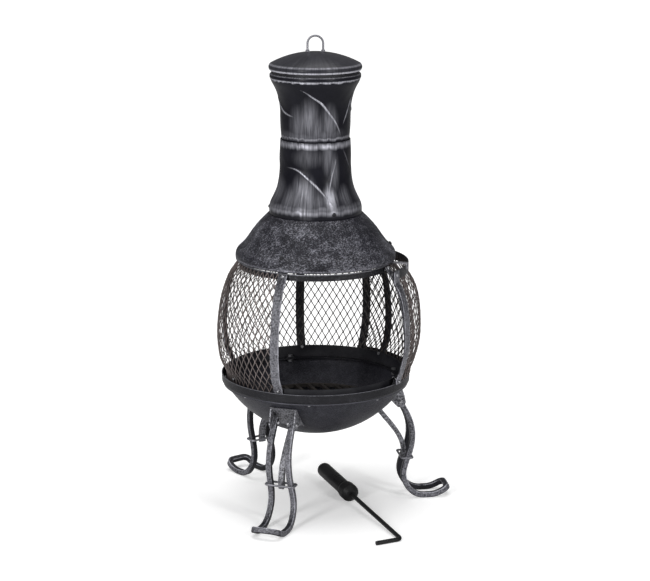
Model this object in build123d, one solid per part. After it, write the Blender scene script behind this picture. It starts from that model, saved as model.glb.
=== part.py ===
from build123d import *
from math import cos, radians, sin, sqrt
import os

# A free-standing mesh chiminea: three bent-bar legs carry a round fire bowl, a tray ring, a
# barrel cage of expanded mesh with a sliding door, a cone-shaped hood and a two-part chimney.
# Millimetres. The chimney axis is Z, the ground is Z = 0 and the fire opening faces -Y.
# An azimuth is counted from the front (-Y), anticlockwise seen from above, in degrees.

os.makedirs("parts", exist_ok=True)

# ---- driving dimensions -------------------------------------------------------------------

SHEET = 2.5                    # wall of the pressed chimney, cap and bowl sheets
CLEAR = 0.3                    # gap between faces that only rest beside each other

# cap and its lifting loop
CAP_TOP = 849.5                # top of the dome
CAP_RADIUS = 83.0              # where the dome meets its rolled rim
CAP_RIM_Z = 828.2              # height of that edge
LOOP_WIRE = 4.0                # wire diameter
LOOP_HALF_WIDTH = 14.2         # half the distance between the loop's feet
LOOP_TOP = 880.0               # highest point of the whole chiminea
LOOP_AZIMUTH = -18.5           # the way the loop's face looks

# chimney drums
LIP_TOP = 811.0                # top of the upper drum's rolled lip
DRUM_JOINT = 691.0             # where the upper drum sits on the lower one
FLANGE_BOTTOM = 553.0          # lower edge of the lower drum
SCREW_AZIMUTHS = [4.7, 124.7, 244.7]
SCREW_Z = 563.0

# hood
HOOD_WALL = 3.0
HOOD_RIM_Z = 469.0             # lower edge
HOOD_BOLT_AZIMUTHS = [-44.5, 75.5, 195.5]
HOOD_NORMAL_TILT = 41.0        # how far the hood's skin faces upwards at its bolts

# barrel cage
STRAP_AZIMUTHS = {
    "strap_front_left": -42.0,
    "strap_front_right": 44.5,
    "strap_rear_right": 112.5,
    "strap_rear": 171.0,
    "strap_rear_left": 229.5,
}
MESH_RIVET_AZIMUTH = -83.4     # a lone rivet low on the left panel
STRAP_WIDTH = 17.0
STRAP_THICK = 3.0
MESH_THICK = 2.0
TOP_RING_RADIUS = 141.5        # outside of the ring under the hood
TOP_RING_Z = (454.0, 465.5)
BOTTOM_RING_RADIUS = 164.3     # outside of the ring in the tray
BOTTOM_RING_Z = (237.2, 259.0)
RING_THICK = 3.0

# sliding door, drawn where it stands open
DOOR_START = 38.5              # azimuth of the leading strap
DOOR_SWEEP = 93.0              # to the trailing strap
DOOR_TOP_Z = (446.0, 463.0)
DOOR_TOP_RADIUS = 172.4        # outside of the top band
TONGUE_AZIMUTHS = [56.0, 118.0]

# tray ring and bowl
TRAY_RADIUS = 176.0            # outside of the tray's wall
TRAY_FLOOR_Z = (234.5, 237.0)
TRAY_TOP = 252.0
TRAY_HOLE_RADIUS = 152.0
BOWL_SPHERE = 196.5            # outer radius of the bowl's sphere
BOWL_CENTRE_Z = 334.3
BOWL_RIM_Z = 231.7             # underside of the bowl's lip
GRATE_RADIUS = 124.5
GRATE_Z = 187.0

# legs
LEG_AZIMUTHS = [-40.1, 79.9, 199.9]
LEG_BAR_WIDTH = 10.0           # across the leg
LEG_BAR_THICK = 10.5           # in the plane of the bend
LEG_TOP_HALF = 17.0            # half the spacing of the two rails at the top,
LEG_CLAMP_HALF = 19.8          # at the clamp
LEG_FOOT_HALF = 24.0           # and at the foot
LEG_TIP_RADIUS = 257.0         # how far the foot reaches out from the axis
CLAMP_Z = 80.0
CLAMP_WIRE = 4.0
FOOT_FLAT = (204.0, 218.0)     # the straight stretch of the foot that rests on the ground

# poker, lying on the ground
POKER_ROD = 8.0
POKER_BEND = (68.5, -275.6, 4.0)
POKER_HOOK_TIP = (18.9, -282.7, 4.0)
POKER_TOWARDS = (-20.0, 368.9, 19.5)   # from the bend to the grip
POKER_GUARD_AT = 231.0         # distance from the bend to the guard's front face
POKER_GUARD_LENGTH = 30.0
POKER_GUARD_RADIUS = 17.0
POKER_GRIP_LENGTH = 120.0
POKER_GRIP_RADIUS = 14.0


# ---- helpers ------------------------------------------------------------------------------

def save(name, *solids):
    """Write one sub-part, of one or more solids, to its own STEP file."""
    shape = solids[0] if len(solids) == 1 else Compound(children=list(solids))
    shape.label = name
    export_step(shape, f"parts/{name}.step")


def turned(shape, azimuth):
    """Turn something drawn over +X so that it stands at an azimuth."""
    return Rot(0, 0, azimuth - 90) * shape


def spun(face, start=0.0, sweep=360.0):
    """Revolve a (radius, height) face about the chimney axis, from one azimuth on."""
    return turned(revolve(Plane.XZ * face, Axis.Z, revolution_arc=sweep), start)


def band(outer, thick, z_range, start=0.0, sweep=360.0):
    """A plain upright ring, or a stretch of one."""
    low, high = z_range
    face = Pos(outer - thick / 2, (low + high) / 2) * Rectangle(thick, high - low)
    return spun(face, start, sweep)


def moved_in(points, gap):
    """The points of a profile drawn from the top down, each moved in by a gap, or out if it is < 0."""
    curve = Spline(*points)
    result = []
    for point in points:
        tangent = curve.tangent_at(point_at(curve, point))
        result.append((point[0] + tangent.Y * gap, point[1] - tangent.X * gap))
    return result


def point_at(curve, point):
    """The parameter of a curve at one of its own points."""
    return curve.param_at_point(Vector(*point))


def skin(points, thick):
    """A closed face between a smooth profile, drawn from the top down, and its inner side."""
    inner = moved_in(points, thick)
    outer_edge = Spline(*points)
    inner_edge = Spline(*inner)
    ends = Line(points[0], inner[0]) + Line(points[-1], inner[-1])
    return make_face(outer_edge + ends + inner_edge)


def bar_along(points, thick, width):
    """A flat bar of even width, drawn over +X, that follows a profile on its outer side."""
    return extrude(Plane.XZ * skin(points, thick), width / 2, both=True)


def facing_out(azimuth, radius, z, tilt=0.0):
    """A plane at a spot round the axis, whose normal points out and, by its tilt, upwards."""
    angle = radians(azimuth - 90)
    level = cos(radians(tilt))
    normal = (level * cos(angle), level * sin(angle), sin(radians(tilt)))
    return Plane(origin=(radius * cos(angle), radius * sin(angle), z), z_dir=normal)


def rod(plane, radius, start, end):
    """A round bar along a plane's normal, from start to end."""
    return plane * (Pos(0, 0, start) * Cylinder(radius, end - start,
                                                align=(Align.CENTER, Align.CENTER, Align.MIN)))


def dome_head(plane, radius, height, start=0.0):
    """A round head with a domed face: a slice off a sphere."""
    sphere = (radius**2 + height**2) / (2 * height)
    ball = Pos(0, 0, height - sphere) * Sphere(sphere)
    head = ball & Pos(0, 0, height / 2) * Cylinder(radius, height)
    return plane * (Pos(0, 0, start) * head)


def hexagon(plane, across, start, end, hole=0.0):
    """A hexagon nut or bolt head along a plane's normal."""
    outline = RegularPolygon(across / 2, 6, major_radius=False)
    if hole:
        outline -= Circle(hole)
    return plane * (Pos(0, 0, start) * extrude(outline, end - start))


# ---- cap ----------------------------------------------------------------------------------

dome_rise = CAP_TOP - CAP_RIM_Z
dome_sphere = (CAP_RADIUS**2 + dome_rise**2) / (2 * dome_rise)
dome_centre = CAP_TOP - dome_sphere


def on_sphere(radius, sphere, centre):
    """Height of a sphere's upper side at a distance from the axis."""
    return centre + sqrt(sphere**2 - radius**2)


def dome_arc(radius, sphere):
    """The arc of the dome from the axis out to a radius."""
    half = radius / 2
    return ThreePointArc((0, dome_centre + sphere),
                         (half, on_sphere(half, sphere, dome_centre)),
                         (radius, on_sphere(radius, sphere, dome_centre)))


inner_sphere = dome_sphere - SHEET
inner_edge_radius = CAP_RADIUS - 2.2
inner_edge_z = on_sphere(inner_edge_radius, inner_sphere, dome_centre)
rim_bottom = 816.8
cap_face = make_face(
    dome_arc(CAP_RADIUS, dome_sphere)
    + Spline((CAP_RADIUS, CAP_RIM_Z), (85.2, 822.0), (83.4, rim_bottom))
    + Line((83.4, rim_bottom), (81.2, rim_bottom))
    + Line((81.2, rim_bottom), (inner_edge_radius, inner_edge_z))
    + dome_arc(inner_edge_radius, inner_sphere)
    + Line((0, CAP_TOP), (0, CAP_TOP - SHEET))
)
cap_dome = spun(cap_face)
loop_feet = []
for side in (-1, 1):
    foot = turned(Pos(0, side * LOOP_HALF_WIDTH, 0) * Cylinder(2.1, 100), LOOP_AZIMUTH)
    loop_feet.append(foot)
    cap_dome -= Pos(0, 0, CAP_TOP) * foot
save("cap_dome", cap_dome)

# The collar under the dome: a flange that rests on the chimney's lip, and a skirt inside it.
collar_top = on_sphere(80.0, inner_sphere, dome_centre) - 0.2
flange = band(80.3, 6.8, (LIP_TOP + CLEAR, LIP_TOP + CLEAR + 3.0))
riser = band(80.0, SHEET, (LIP_TOP + CLEAR, collar_top))
skirt = band(76.0, SHEET, (794.0, LIP_TOP + CLEAR + 3.0))
save("cap_collar", flange + riser + skirt)

# The lifting loop: a wire bent into a staple, with threaded feet through the dome.
arch_z = LOOP_TOP - LOOP_WIRE / 2 - LOOP_HALF_WIDTH
foot_z = CAP_TOP - 9.5
loop_path = (
    Line((-LOOP_HALF_WIDTH, foot_z), (-LOOP_HALF_WIDTH, arch_z))
    + ThreePointArc((-LOOP_HALF_WIDTH, arch_z), (0, arch_z + LOOP_HALF_WIDTH),
                    (LOOP_HALF_WIDTH, arch_z))
    + Line((LOOP_HALF_WIDTH, arch_z), (LOOP_HALF_WIDTH, foot_z))
)
loop_wire = Plane.YZ * loop_path
loop_section = Plane(origin=(0, -LOOP_HALF_WIDTH, foot_z), z_dir=(0, 0, 1)) * Circle(LOOP_WIRE / 2)
save("cap_loop", turned(sweep(loop_section, path=loop_wire.wire()), LOOP_AZIMUTH))

loop_nuts = []
for side in (-1, 1):
    spot = Plane(origin=(0, side * LOOP_HALF_WIDTH, CAP_TOP), z_dir=(0, 0, 1))
    for low, high in ((-0.3, 3.0), (-7.0, -3.7)):
        nut = hexagon(spot, 7.5, low, high, hole=LOOP_WIRE / 2 + 0.05)
        loop_nuts.append(turned(nut, LOOP_AZIMUTH))
save("cap_loop_nuts", *loop_nuts)


# ---- chimney drums ------------------------------------------------------------------------

screw_planes = [facing_out(azimuth, 85.0, SCREW_Z) for azimuth in SCREW_AZIMUTHS]

upper_profile = [(82.4, 801.5), (80.8, 797.5), (75.0, 786.6), (67.8, 766.5), (64.9, 748.0),
                 (64.2, 720.0), (62.4, 694.6)]
lip_face = Pos(80.45, (802.0 + LIP_TOP) / 2) * RectangleRounded(5.9, LIP_TOP - 802.0, 2.6)
upper_drum = spun(skin(upper_profile, SHEET)) + spun(lip_face)
upper_drum += band(62.4, 3.4, (DRUM_JOINT, DRUM_JOINT + 4.2))
upper_drum += band(61.3, SHEET, (673.0, DRUM_JOINT + 3.0))
save("chimney_upper", upper_drum)

lower_profile = [(64.2, DRUM_JOINT), (65.2, 671.0), (65.4, 646.0), (67.0, 622.0), (71.5, 600.0),
                 (78.6, 583.5), (84.4, 570.0), (85.4, 561.0), (84.9, FLANGE_BOTTOM)]
lower_drum = spun(skin(lower_profile, SHEET))
for plane in screw_planes:
    lower_drum -= rod(plane, 2.2, -12, 6)
save("chimney_lower", lower_drum)


# ---- hood ---------------------------------------------------------------------------------

hood_profile = [(88.0, 552.3), (99.6, 540.8), (117.1, 520.0), (129.0, 503.0), (139.0, 492.0),
                (146.0, 484.5), (148.0, 477.0), (147.6, HOOD_RIM_Z)]
hood = spun(skin(hood_profile, HOOD_WALL))
neck_face = make_face(Polyline((79.2, 549.2), (79.2, 567.0), (81.7, 567.0), (81.7, 552.5),
                               (88.2, 552.5), (88.6, 549.2), (79.2, 549.2)))
hood += spun(neck_face)

hood_bolt_planes = [facing_out(azimuth, 138.0, 493.1, HOOD_NORMAL_TILT)
                    for azimuth in HOOD_BOLT_AZIMUTHS]
for plane in hood_bolt_planes:
    hood -= rod(plane, 2.7, -8, 6)
for plane in screw_planes:
    hood -= rod(plane, 2.2, -12, 6)
save("hood", hood)


# ---- cage rings, hood brackets and their fasteners ------------------------------------------

bracket_rivets = [facing_out(azimuth, TOP_RING_RADIUS, 462.8) for azimuth in HOOD_BOLT_AZIMUTHS]
strap_tops = [facing_out(azimuth, 149.2, 462.4, 30) for azimuth in STRAP_AZIMUTHS.values()]
strap_feet = [facing_out(azimuth, 170.8, 254.0, -14) for azimuth in STRAP_AZIMUTHS.values()]
mesh_rivet = facing_out(MESH_RIVET_AZIMUTH, 167.5, 254.0, -14)
RIVET = 1.7                    # rivet shank radius
RIVET_HOLE = 1.8

top_ring = band(TOP_RING_RADIUS, RING_THICK, TOP_RING_Z)
for plane in bracket_rivets:
    top_ring -= rod(plane, RIVET_HOLE, -5, 3)
for plane in strap_tops:
    top_ring -= rod(plane, RIVET_HOLE, -16, 3)
save("cage_top_ring", top_ring)

LUG_AZIMUTHS = [0.0, 90.0, 180.0, 270.0]
LUG_BOLT_RADIUS = 156.2
bottom_ring = band(BOTTOM_RING_RADIUS, RING_THICK, BOTTOM_RING_Z)
for azimuth in LUG_AZIMUTHS:
    lug = Pos(157.6, 0, BOTTOM_RING_Z[0] + 1.25) * Box(8.6, 15, 2.5)
    bottom_ring += turned(lug, azimuth)
    bottom_ring -= turned(Pos(LUG_BOLT_RADIUS, 0, BOTTOM_RING_Z[0]) * Cylinder(2.7, 20), azimuth)
for plane in strap_feet + [mesh_rivet]:
    bottom_ring -= rod(plane, RIVET_HOLE, -14, 3)
save("cage_bottom_ring", bottom_ring)

# Three brackets behind the top ring carry the hood; each follows the underside of its skin.
bracket_path = [(136.2, 457.0), (136.2, 486.4), (126.0, 498.3)]
bracket_side = trace(Polyline(*bracket_path), STRAP_THICK)
for number, azimuth in enumerate(HOOD_BOLT_AZIMUTHS):
    bracket = turned(extrude(Plane.XZ * bracket_side, STRAP_WIDTH / 2, both=True), azimuth)
    bracket -= rod(hood_bolt_planes[number], 2.7, -12, 6)
    bracket -= rod(bracket_rivets[number], RIVET_HOLE, -9, 3)
    save(f"hood_bracket_{number + 1}", bracket)

hood_bolts = []
for plane in hood_bolt_planes:
    bolt = dome_head(plane, 4.6, 2.6, start=0.7) + rod(plane, 2.5, -12.0, 1.0)
    nut = hexagon(plane, 8.0, -12.1, -8.4, hole=2.55)
    hood_bolts += [bolt, nut]
save("hood_bolts", *hood_bolts)

chimney_screws = []
for plane in screw_planes:
    chimney_screws.append(dome_head(plane, 3.8, 2.4, start=0.5) + rod(plane, 2.1, -9.0, 0.8))
save("chimney_screws", *chimney_screws)


# ---- barrel mesh and straps -----------------------------------------------------------------

cage_profile = [(143.9, 464.8), (149.0, 456.0), (156.8, 446.0), (167.2, 425.0), (175.6, 398.5),
                (181.2, 366.0), (184.1, 324.0), (182.0, 297.0), (176.2, 273.5), (168.0, 257.5),
                (166.8, 250.0), (166.6, 240.0)]
strap_profile = [(147.4, 465.2)] + moved_in(cage_profile, -STRAP_THICK - 0.3)[1:-1] + [(169.9, 240.4)]

panel_ends = {
    "mesh_right": ("strap_front_right", "strap_rear_right"),
    "mesh_rear_right": ("strap_rear_right", "strap_rear"),
    "mesh_rear_left": ("strap_rear", "strap_rear_left"),
    "mesh_left": ("strap_rear_left", "strap_front_left"),
}
PANEL_GAP = 0.15               # degrees between a mesh panel's edge and the strap's middle
rivet_holes = [rod(plane, RIVET_HOLE, -16, 3) for plane in strap_tops + strap_feet + [mesh_rivet]]
for name, (first, last) in panel_ends.items():
    start = STRAP_AZIMUTHS[first] + PANEL_GAP
    sweep_angle = (STRAP_AZIMUTHS[last] - PANEL_GAP - start) % 360
    save(name, spun(skin(cage_profile, MESH_THICK), start, sweep_angle) - rivet_holes)

strap = bar_along(strap_profile, STRAP_THICK, STRAP_WIDTH)
for name, azimuth in STRAP_AZIMUTHS.items():
    save(name, turned(strap, azimuth) - rivet_holes)


# ---- tray ring, bowl and grate --------------------------------------------------------------

floor_low, floor_high = TRAY_FLOOR_Z
tray_face = make_face(Polyline(
    (TRAY_HOLE_RADIUS, floor_low), (TRAY_RADIUS - 3.0, floor_low), (TRAY_RADIUS - 0.6, floor_low + 3.5),
    (TRAY_RADIUS, TRAY_TOP), (TRAY_RADIUS - 1.7, TRAY_TOP), (TRAY_RADIUS - 1.8, floor_high),
    (TRAY_HOLE_RADIUS, floor_high), (TRAY_HOLE_RADIUS, floor_low)))
tray = spun(tray_face)
BOWL_RIVET_RADIUS = 170.0
BOWL_RIVET_AZIMUTHS = [22.5 + 45.0 * step for step in range(8)]
for azimuth in LUG_AZIMUTHS:
    tray -= turned(Pos(LUG_BOLT_RADIUS, 0, floor_low) * Cylinder(2.7, 20), azimuth)
for azimuth in BOWL_RIVET_AZIMUTHS:
    tray -= turned(Pos(BOWL_RIVET_RADIUS, 0, floor_low) * Cylinder(1.5, 8), azimuth)
save("base_ring", tray)

cage_bolts = []
for azimuth in LUG_AZIMUTHS:
    spot = Plane(origin=(LUG_BOLT_RADIUS, 0, 0))
    bolt = rod(spot, 2.5, floor_low - 5.0, 240.0) + hexagon(spot, 8.0, 239.8, 243.0)
    nut = hexagon(spot, 8.0, floor_low - 4.2, floor_low - 0.1, hole=2.55)
    cage_bolts += [turned(bolt, azimuth), turned(nut, azimuth)]
save("cage_bolts", *cage_bolts)


def in_bowl(radius, sphere):
    """Height of the lower side of the bowl's sphere at a distance from the axis."""
    return BOWL_CENTRE_Z - sqrt(sphere**2 - radius**2)


def bowl_arc(radius, sphere):
    """The arc of the bowl from the axis out to a radius."""
    half = radius / 2
    return ThreePointArc((0, BOWL_CENTRE_Z - sphere), (half, in_bowl(half, sphere)),
                         (radius, in_bowl(radius, sphere)))


inner_bowl = BOWL_SPHERE - SHEET
lip_top = floor_low - 0.2
outer_rim = sqrt(BOWL_SPHERE**2 - (BOWL_CENTRE_Z - BOWL_RIM_Z)**2)
inner_rim = sqrt(inner_bowl**2 - (BOWL_CENTRE_Z - lip_top)**2)
LIP_RADIUS = 172.6
bowl_face = make_face(
    bowl_arc(outer_rim, BOWL_SPHERE)
    + Polyline((outer_rim, BOWL_RIM_Z), (LIP_RADIUS, BOWL_RIM_Z), (LIP_RADIUS, lip_top),
               (inner_rim, lip_top))
    + bowl_arc(inner_rim, inner_bowl)
    + Line((0, BOWL_CENTRE_Z - BOWL_SPHERE), (0, BOWL_CENTRE_Z - inner_bowl)))
bowl = spun(bowl_face)
for azimuth in BOWL_RIVET_AZIMUTHS:
    bowl -= turned(Pos(BOWL_RIVET_RADIUS, 0, BOWL_RIM_Z) * Cylinder(1.5, 8), azimuth)
save("fire_bowl", bowl)

bowl_rivets = []
for azimuth in BOWL_RIVET_AZIMUTHS:
    spot = Plane(origin=(BOWL_RIVET_RADIUS, 0, 0))
    rivet = rod(spot, 1.4, BOWL_RIM_Z - 0.5, floor_high + 0.5)
    rivet += dome_head(spot, 2.2, 1.5, start=floor_high)
    rivet += rod(spot, 2.2, BOWL_RIM_Z - 1.4, BOWL_RIM_Z)
    bowl_rivets.append(turned(rivet, azimuth))
save("bowl_rivets", *bowl_rivets)

GRATE_BAR = 6.0
GRATE_BARS = 9
GRATE_PITCH = 24.0
grate = band(GRATE_RADIUS, GRATE_BAR, (GRATE_Z, GRATE_Z + GRATE_BAR))
for step in range(GRATE_BARS):
    offset = (step - (GRATE_BARS - 1) / 2) * GRATE_PITCH
    half_length = sqrt((GRATE_RADIUS - GRATE_BAR / 2)**2 - offset**2)
    grate += Pos(offset, 0, GRATE_Z + GRATE_BAR / 2) * Box(GRATE_BAR, 2 * half_length, GRATE_BAR)
save("fire_grate", grate)


# ---- cage rivets ----------------------------------------------------------------------------

OUTSIDE_FEET = ["strap_front_left", "strap_rear", "strap_rear_left"]   # clear of the door's path
cage_rivets = []
for name, top, foot in zip(STRAP_AZIMUTHS, strap_tops, strap_feet):
    cage_rivets.append(rod(top, RIVET, -11.6, 0.6) + dome_head(top, 3.2, 1.8, start=0.3))
    low_rivet = rod(foot, RIVET, -11.0, -0.5) + rod(foot, 3.0, -11.8, -10.7)
    if name in OUTSIDE_FEET:
        low_rivet += rod(foot, RIVET, -0.6, 0.6) + dome_head(foot, 3.2, 1.8, start=0.2)
    cage_rivets.append(low_rivet)
cage_rivets.append(rod(mesh_rivet, RIVET, -8.0, 0.6) + dome_head(mesh_rivet, 3.2, 1.8, start=0.2)
                   + rod(mesh_rivet, 3.0, -8.6, -7.4))
save("cage_rivets", *cage_rivets)

save("bracket_rivets", *[rod(plane, RIVET, -7.2, -0.1) + rod(plane, 2.8, -8.2, -7.0)
                         for plane in bracket_rivets])


# ---- sliding door ---------------------------------------------------------------------------

door_profile = [(169.6, 457.0), (169.7, 452.0), (170.3, 446.0), (174.4, 439.0), (179.7, 431.0),
                (184.9, 421.0), (193.6, 387.0), (196.1, 352.0), (193.8, 311.0), (188.9, 291.0),
                (182.4, 271.5), (178.3, 260.5), (177.8, 252.8)]
door_strap_profile = ([(176.0, 462.8), (176.2, 449.0)]
                      + moved_in(door_profile, -STRAP_THICK - 0.5)[3:-1] + [(181.6, 252.8)])
door_strap_azimuths = {
    "door_strap_leading": DOOR_START,
    "door_strap_trailing": DOOR_START + DOOR_SWEEP,
}
BAND_OVERHANG = 2.4            # degrees that the bands reach past the middle of each strap
band_start = DOOR_START - BAND_OVERHANG
band_sweep = DOOR_SWEEP + 2 * BAND_OVERHANG

door_tops = [facing_out(azimuth, 176.1, 455.0) for azimuth in door_strap_azimuths.values()]
door_feet = [facing_out(azimuth, 181.7, 256.8) for azimuth in door_strap_azimuths.values()]
tongue_rivets = [facing_out(azimuth, DOOR_TOP_RADIUS, 460.2) for azimuth in TONGUE_AZIMUTHS]
door_holes = [rod(plane, RIVET_HOLE, -12, 2) for plane in door_tops + door_feet]

top_band = band(DOOR_TOP_RADIUS, 2.0, DOOR_TOP_Z, band_start, band_sweep)
for plane in tongue_rivets:
    top_band -= rod(plane, RIVET_HOLE, -4, 3)
save("door_top_band", top_band - door_holes)

# The lower rail has a joggle: its lower leg runs in the tray, its upper leg clears the wall.
rail_face = make_face(Polyline(
    (171.8, 239.6), (173.6, 239.6), (173.6, 252.8), (175.2, 252.8), (175.2, 260.8), (173.6, 260.8),
    (173.6, 254.4), (171.8, 254.4), (171.8, 239.6)))
save("door_bottom_rail", spun(rail_face, band_start, band_sweep) - door_holes)

save("door_mesh", spun(skin(door_profile, MESH_THICK), DOOR_START, DOOR_SWEEP) - door_holes)

door_strap = bar_along(door_strap_profile, STRAP_THICK, STRAP_WIDTH)
for name, azimuth in door_strap_azimuths.items():
    save(name, turned(door_strap, azimuth) - door_holes)

# Two tongues hang the door: each is an angle riveted outside the top band, and its flat arm
# reaches in over the cage's top ring, below the rim of the hood.
TONGUE_Z = (466.6, 468.2)
TONGUE_WIDTH = 12.0
tongue_side = make_face(Polyline(
    (139.8, TONGUE_Z[0]), (172.7, TONGUE_Z[0]), (172.7, 455.8), (174.5, 455.8), (174.5, TONGUE_Z[1]),
    (139.8, TONGUE_Z[1]), (139.8, TONGUE_Z[0])))
for number, azimuth in enumerate(TONGUE_AZIMUTHS):
    tongue = turned(extrude(Plane.XZ * tongue_side, TONGUE_WIDTH / 2, both=True), azimuth)
    save(f"door_tongue_{number + 1}", tongue - rod(tongue_rivets[number], RIVET_HOLE, -1, 4))

door_rivets = []
for plane in door_tops:
    door_rivets.append(rod(plane, RIVET, -9.2, 0.6) + rod(plane, 2.8, -10.0, -8.7)
                       + dome_head(plane, 3.2, 1.8, start=0.35))
for plane in door_feet:
    door_rivets.append(rod(plane, RIVET, -7.4, 1.1) + dome_head(plane, 3.0, 1.8, start=0.9))
for plane in tongue_rivets:
    door_rivets.append(rod(plane, RIVET, -2.2, 2.5) + rod(plane, 2.8, -3.2, -2.1)
                       + dome_head(plane, 3.0, 1.6, start=2.15))
save("door_rivets", *door_rivets)


# ---- legs -----------------------------------------------------------------------------------

def leg_side():
    """The bent bar of a leg seen from the side, as a closed face."""
    flat_z = LEG_BAR_THICK / 2
    knee = Spline((151.5, 200.0), (167.5, 173.0), (180.0, 142.0), (182.0, 120.0), (178.0, 95.0),
                  (169.5, 70.5), (165.0, 45.0), (170.0, 28.0), (183.0, 12.5),
                  (FOOT_FLAT[0], flat_z), tangents=[(0.75, -1), (1, 0)])
    sole = Line((FOOT_FLAT[0], flat_z), (FOOT_FLAT[1], flat_z))
    toe = Spline((FOOT_FLAT[1], flat_z), (238.0, 11.0), (LEG_TIP_RADIUS - 2, 19.5),
                 tangents=[(1, 0), (1, 0.35)])
    return trace(knee + sole + toe, LEG_BAR_THICK)


def rail_wedge(extra, reach):
    """A tall wedge as wide as the pair of rails plus extra on each side, out to a radius."""
    half = [(LEG_FOOT_HALF + extra, -5.0), (LEG_FOOT_HALF + extra, 10.0),
            (LEG_CLAMP_HALF + extra, CLAMP_Z), (LEG_TOP_HALF + extra, 210.0)]
    mirrored = [(-y, z) for y, z in reversed(half)]
    outline = make_face(Polyline(*(half + mirrored + [half[0]])))
    return extrude(Plane.YZ * outline, reach)


def plan_round(half_width, reach, corner):
    """A block that rounds the tip of a foot off in plan."""
    outline = Pos(reach / 2, 0) * RectangleRounded(reach, 2 * half_width, corner)
    return Pos(0, 0, -10) * extrude(outline, 240)


leg_blank = extrude(Plane.XZ * leg_side(), 60, both=True)
tip_reach = LEG_TIP_RADIUS
slot_reach = LEG_TIP_RADIUS - LEG_BAR_WIDTH
outside = rail_wedge(LEG_BAR_WIDTH / 2, tip_reach + 5)
outside &= plan_round(LEG_FOOT_HALF + LEG_BAR_WIDTH / 2, tip_reach, 13.0)
slot = rail_wedge(-LEG_BAR_WIDTH / 2, slot_reach)
slot &= plan_round(LEG_FOOT_HALF - LEG_BAR_WIDTH / 2, slot_reach, 6.0)
leg_loop = (leg_blank & outside) - slot


# Bracket: a plate that hugs the bowl's flank, with two cheeks that hold the rails between them.
PLATE_Z = (180.0, 221.0)
PLATE_WIDTH = 52.0
CHEEK_THICK = 2.5
LEG_BOLT_AT = (157.5, 190.5)   # radius and height of the bolts through cheeks and rails
rail_half = LEG_TOP_HALF + LEG_BAR_WIDTH / 2 + 0.7
plate_inner = BOWL_SPHERE + 0.1
plate_outer = plate_inner + SHEET
plate = Pos(0, 0, BOWL_CENTRE_Z) * (Sphere(plate_outer) - Sphere(plate_inner))
plate &= Pos(150, 0, sum(PLATE_Z) / 2) * Box(100, PLATE_WIDTH, PLATE_Z[1] - PLATE_Z[0])
cheek_side = make_face(Polyline((140.0, 218.0), (160.0, 218.0), (165.0, 204.0), (168.0, 189.0),
                                (164.0, 181.0), (153.0, 180.0), (147.0, 186.0), (136.0, 198.0),
                                (140.0, 218.0)))
cheeks = Plane.XZ * extrude(cheek_side, rail_half + CHEEK_THICK, both=True)
cheeks -= Box(500, 2 * rail_half, 500)
cheeks -= Pos(0, 0, BOWL_CENTRE_Z) * Sphere(plate_inner + 0.5)
leg_bracket = plate + cheeks

# Stay: a lighter flat bar from the clamp up to the underside of the bowl.
STAY_THICK = 9.0
stay_path = [(113.4, 181.3), (146.5, 138.0), (168.6, 92.0), (167.4, 72.5)]
stay = Plane.XZ * extrude(trace(Spline(*stay_path), STAY_THICK), 5.0, both=True)
stay -= Pos(0, 0, BOWL_CENTRE_Z) * Sphere(BOWL_SPHERE + 0.2)

# Clamp: a wire ring round the two rails and the stay.
clamp_depth = 21.0
clamp_width = 2 * (LEG_CLAMP_HALF + LEG_BAR_WIDTH / 2 + CLAMP_WIRE / 2 + 0.6)
clamp_plane = Plane(origin=(171.3, 0, CLAMP_Z))
clamp_path = (clamp_plane * RectangleRounded(clamp_depth, clamp_width, 4.5)).wire()
clamp_start = Plane(origin=clamp_path @ 0, z_dir=clamp_path % 0)
clamp = sweep(clamp_start * Circle(CLAMP_WIRE / 2), path=clamp_path)

bolt_radius, bolt_z = LEG_BOLT_AT
bolt_shafts = []
bolt_solids = []
for side in (-1, 1):
    spot = Plane(origin=(bolt_radius, 0, bolt_z), x_dir=(1, 0, 0), z_dir=(0, side, 0))
    inner_face = LEG_TOP_HALF - LEG_BAR_WIDTH / 2
    bolt_shafts.append(rod(spot, 2.1, 5, 40))
    head = dome_head(spot, 4.2, 2.6, start=rail_half + CHEEK_THICK)
    shank = rod(spot, 2.0, inner_face - 4.6, rail_half + CHEEK_THICK + 0.4)
    nut = hexagon(spot, 7.0, inner_face - 4.2, inner_face - 0.9, hole=2.05)
    bolt_solids += [head + shank, nut]

leg_loop -= bolt_shafts
leg_bracket -= bolt_shafts
leg_bolts = []
for number, azimuth in enumerate(LEG_AZIMUTHS):
    save(f"leg_loop_{number + 1}", turned(leg_loop, azimuth))
    save(f"leg_bracket_{number + 1}", turned(leg_bracket, azimuth))
    save(f"leg_stay_{number + 1}", turned(stay, azimuth))
    save(f"leg_clamp_{number + 1}", turned(clamp, azimuth))
    leg_bolts += [turned(solid, azimuth) for solid in bolt_solids]
save("leg_bolts", *leg_bolts)


# ---- poker ----------------------------------------------------------------------------------

bend = Vector(*POKER_BEND)
hook_tip = Vector(*POKER_HOOK_TIP)
along = Vector(*POKER_TOWARDS).normalized()
rod_end = bend + along * (POKER_GUARD_AT + POKER_GUARD_LENGTH + 60.0)
poker_path = FilletPolyline(hook_tip, bend, rod_end, radius=9.0)
poker_start = Plane(origin=poker_path @ 0, z_dir=poker_path % 0)
save("poker_rod", sweep(poker_start * Circle(POKER_ROD / 2), path=poker_path))

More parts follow.
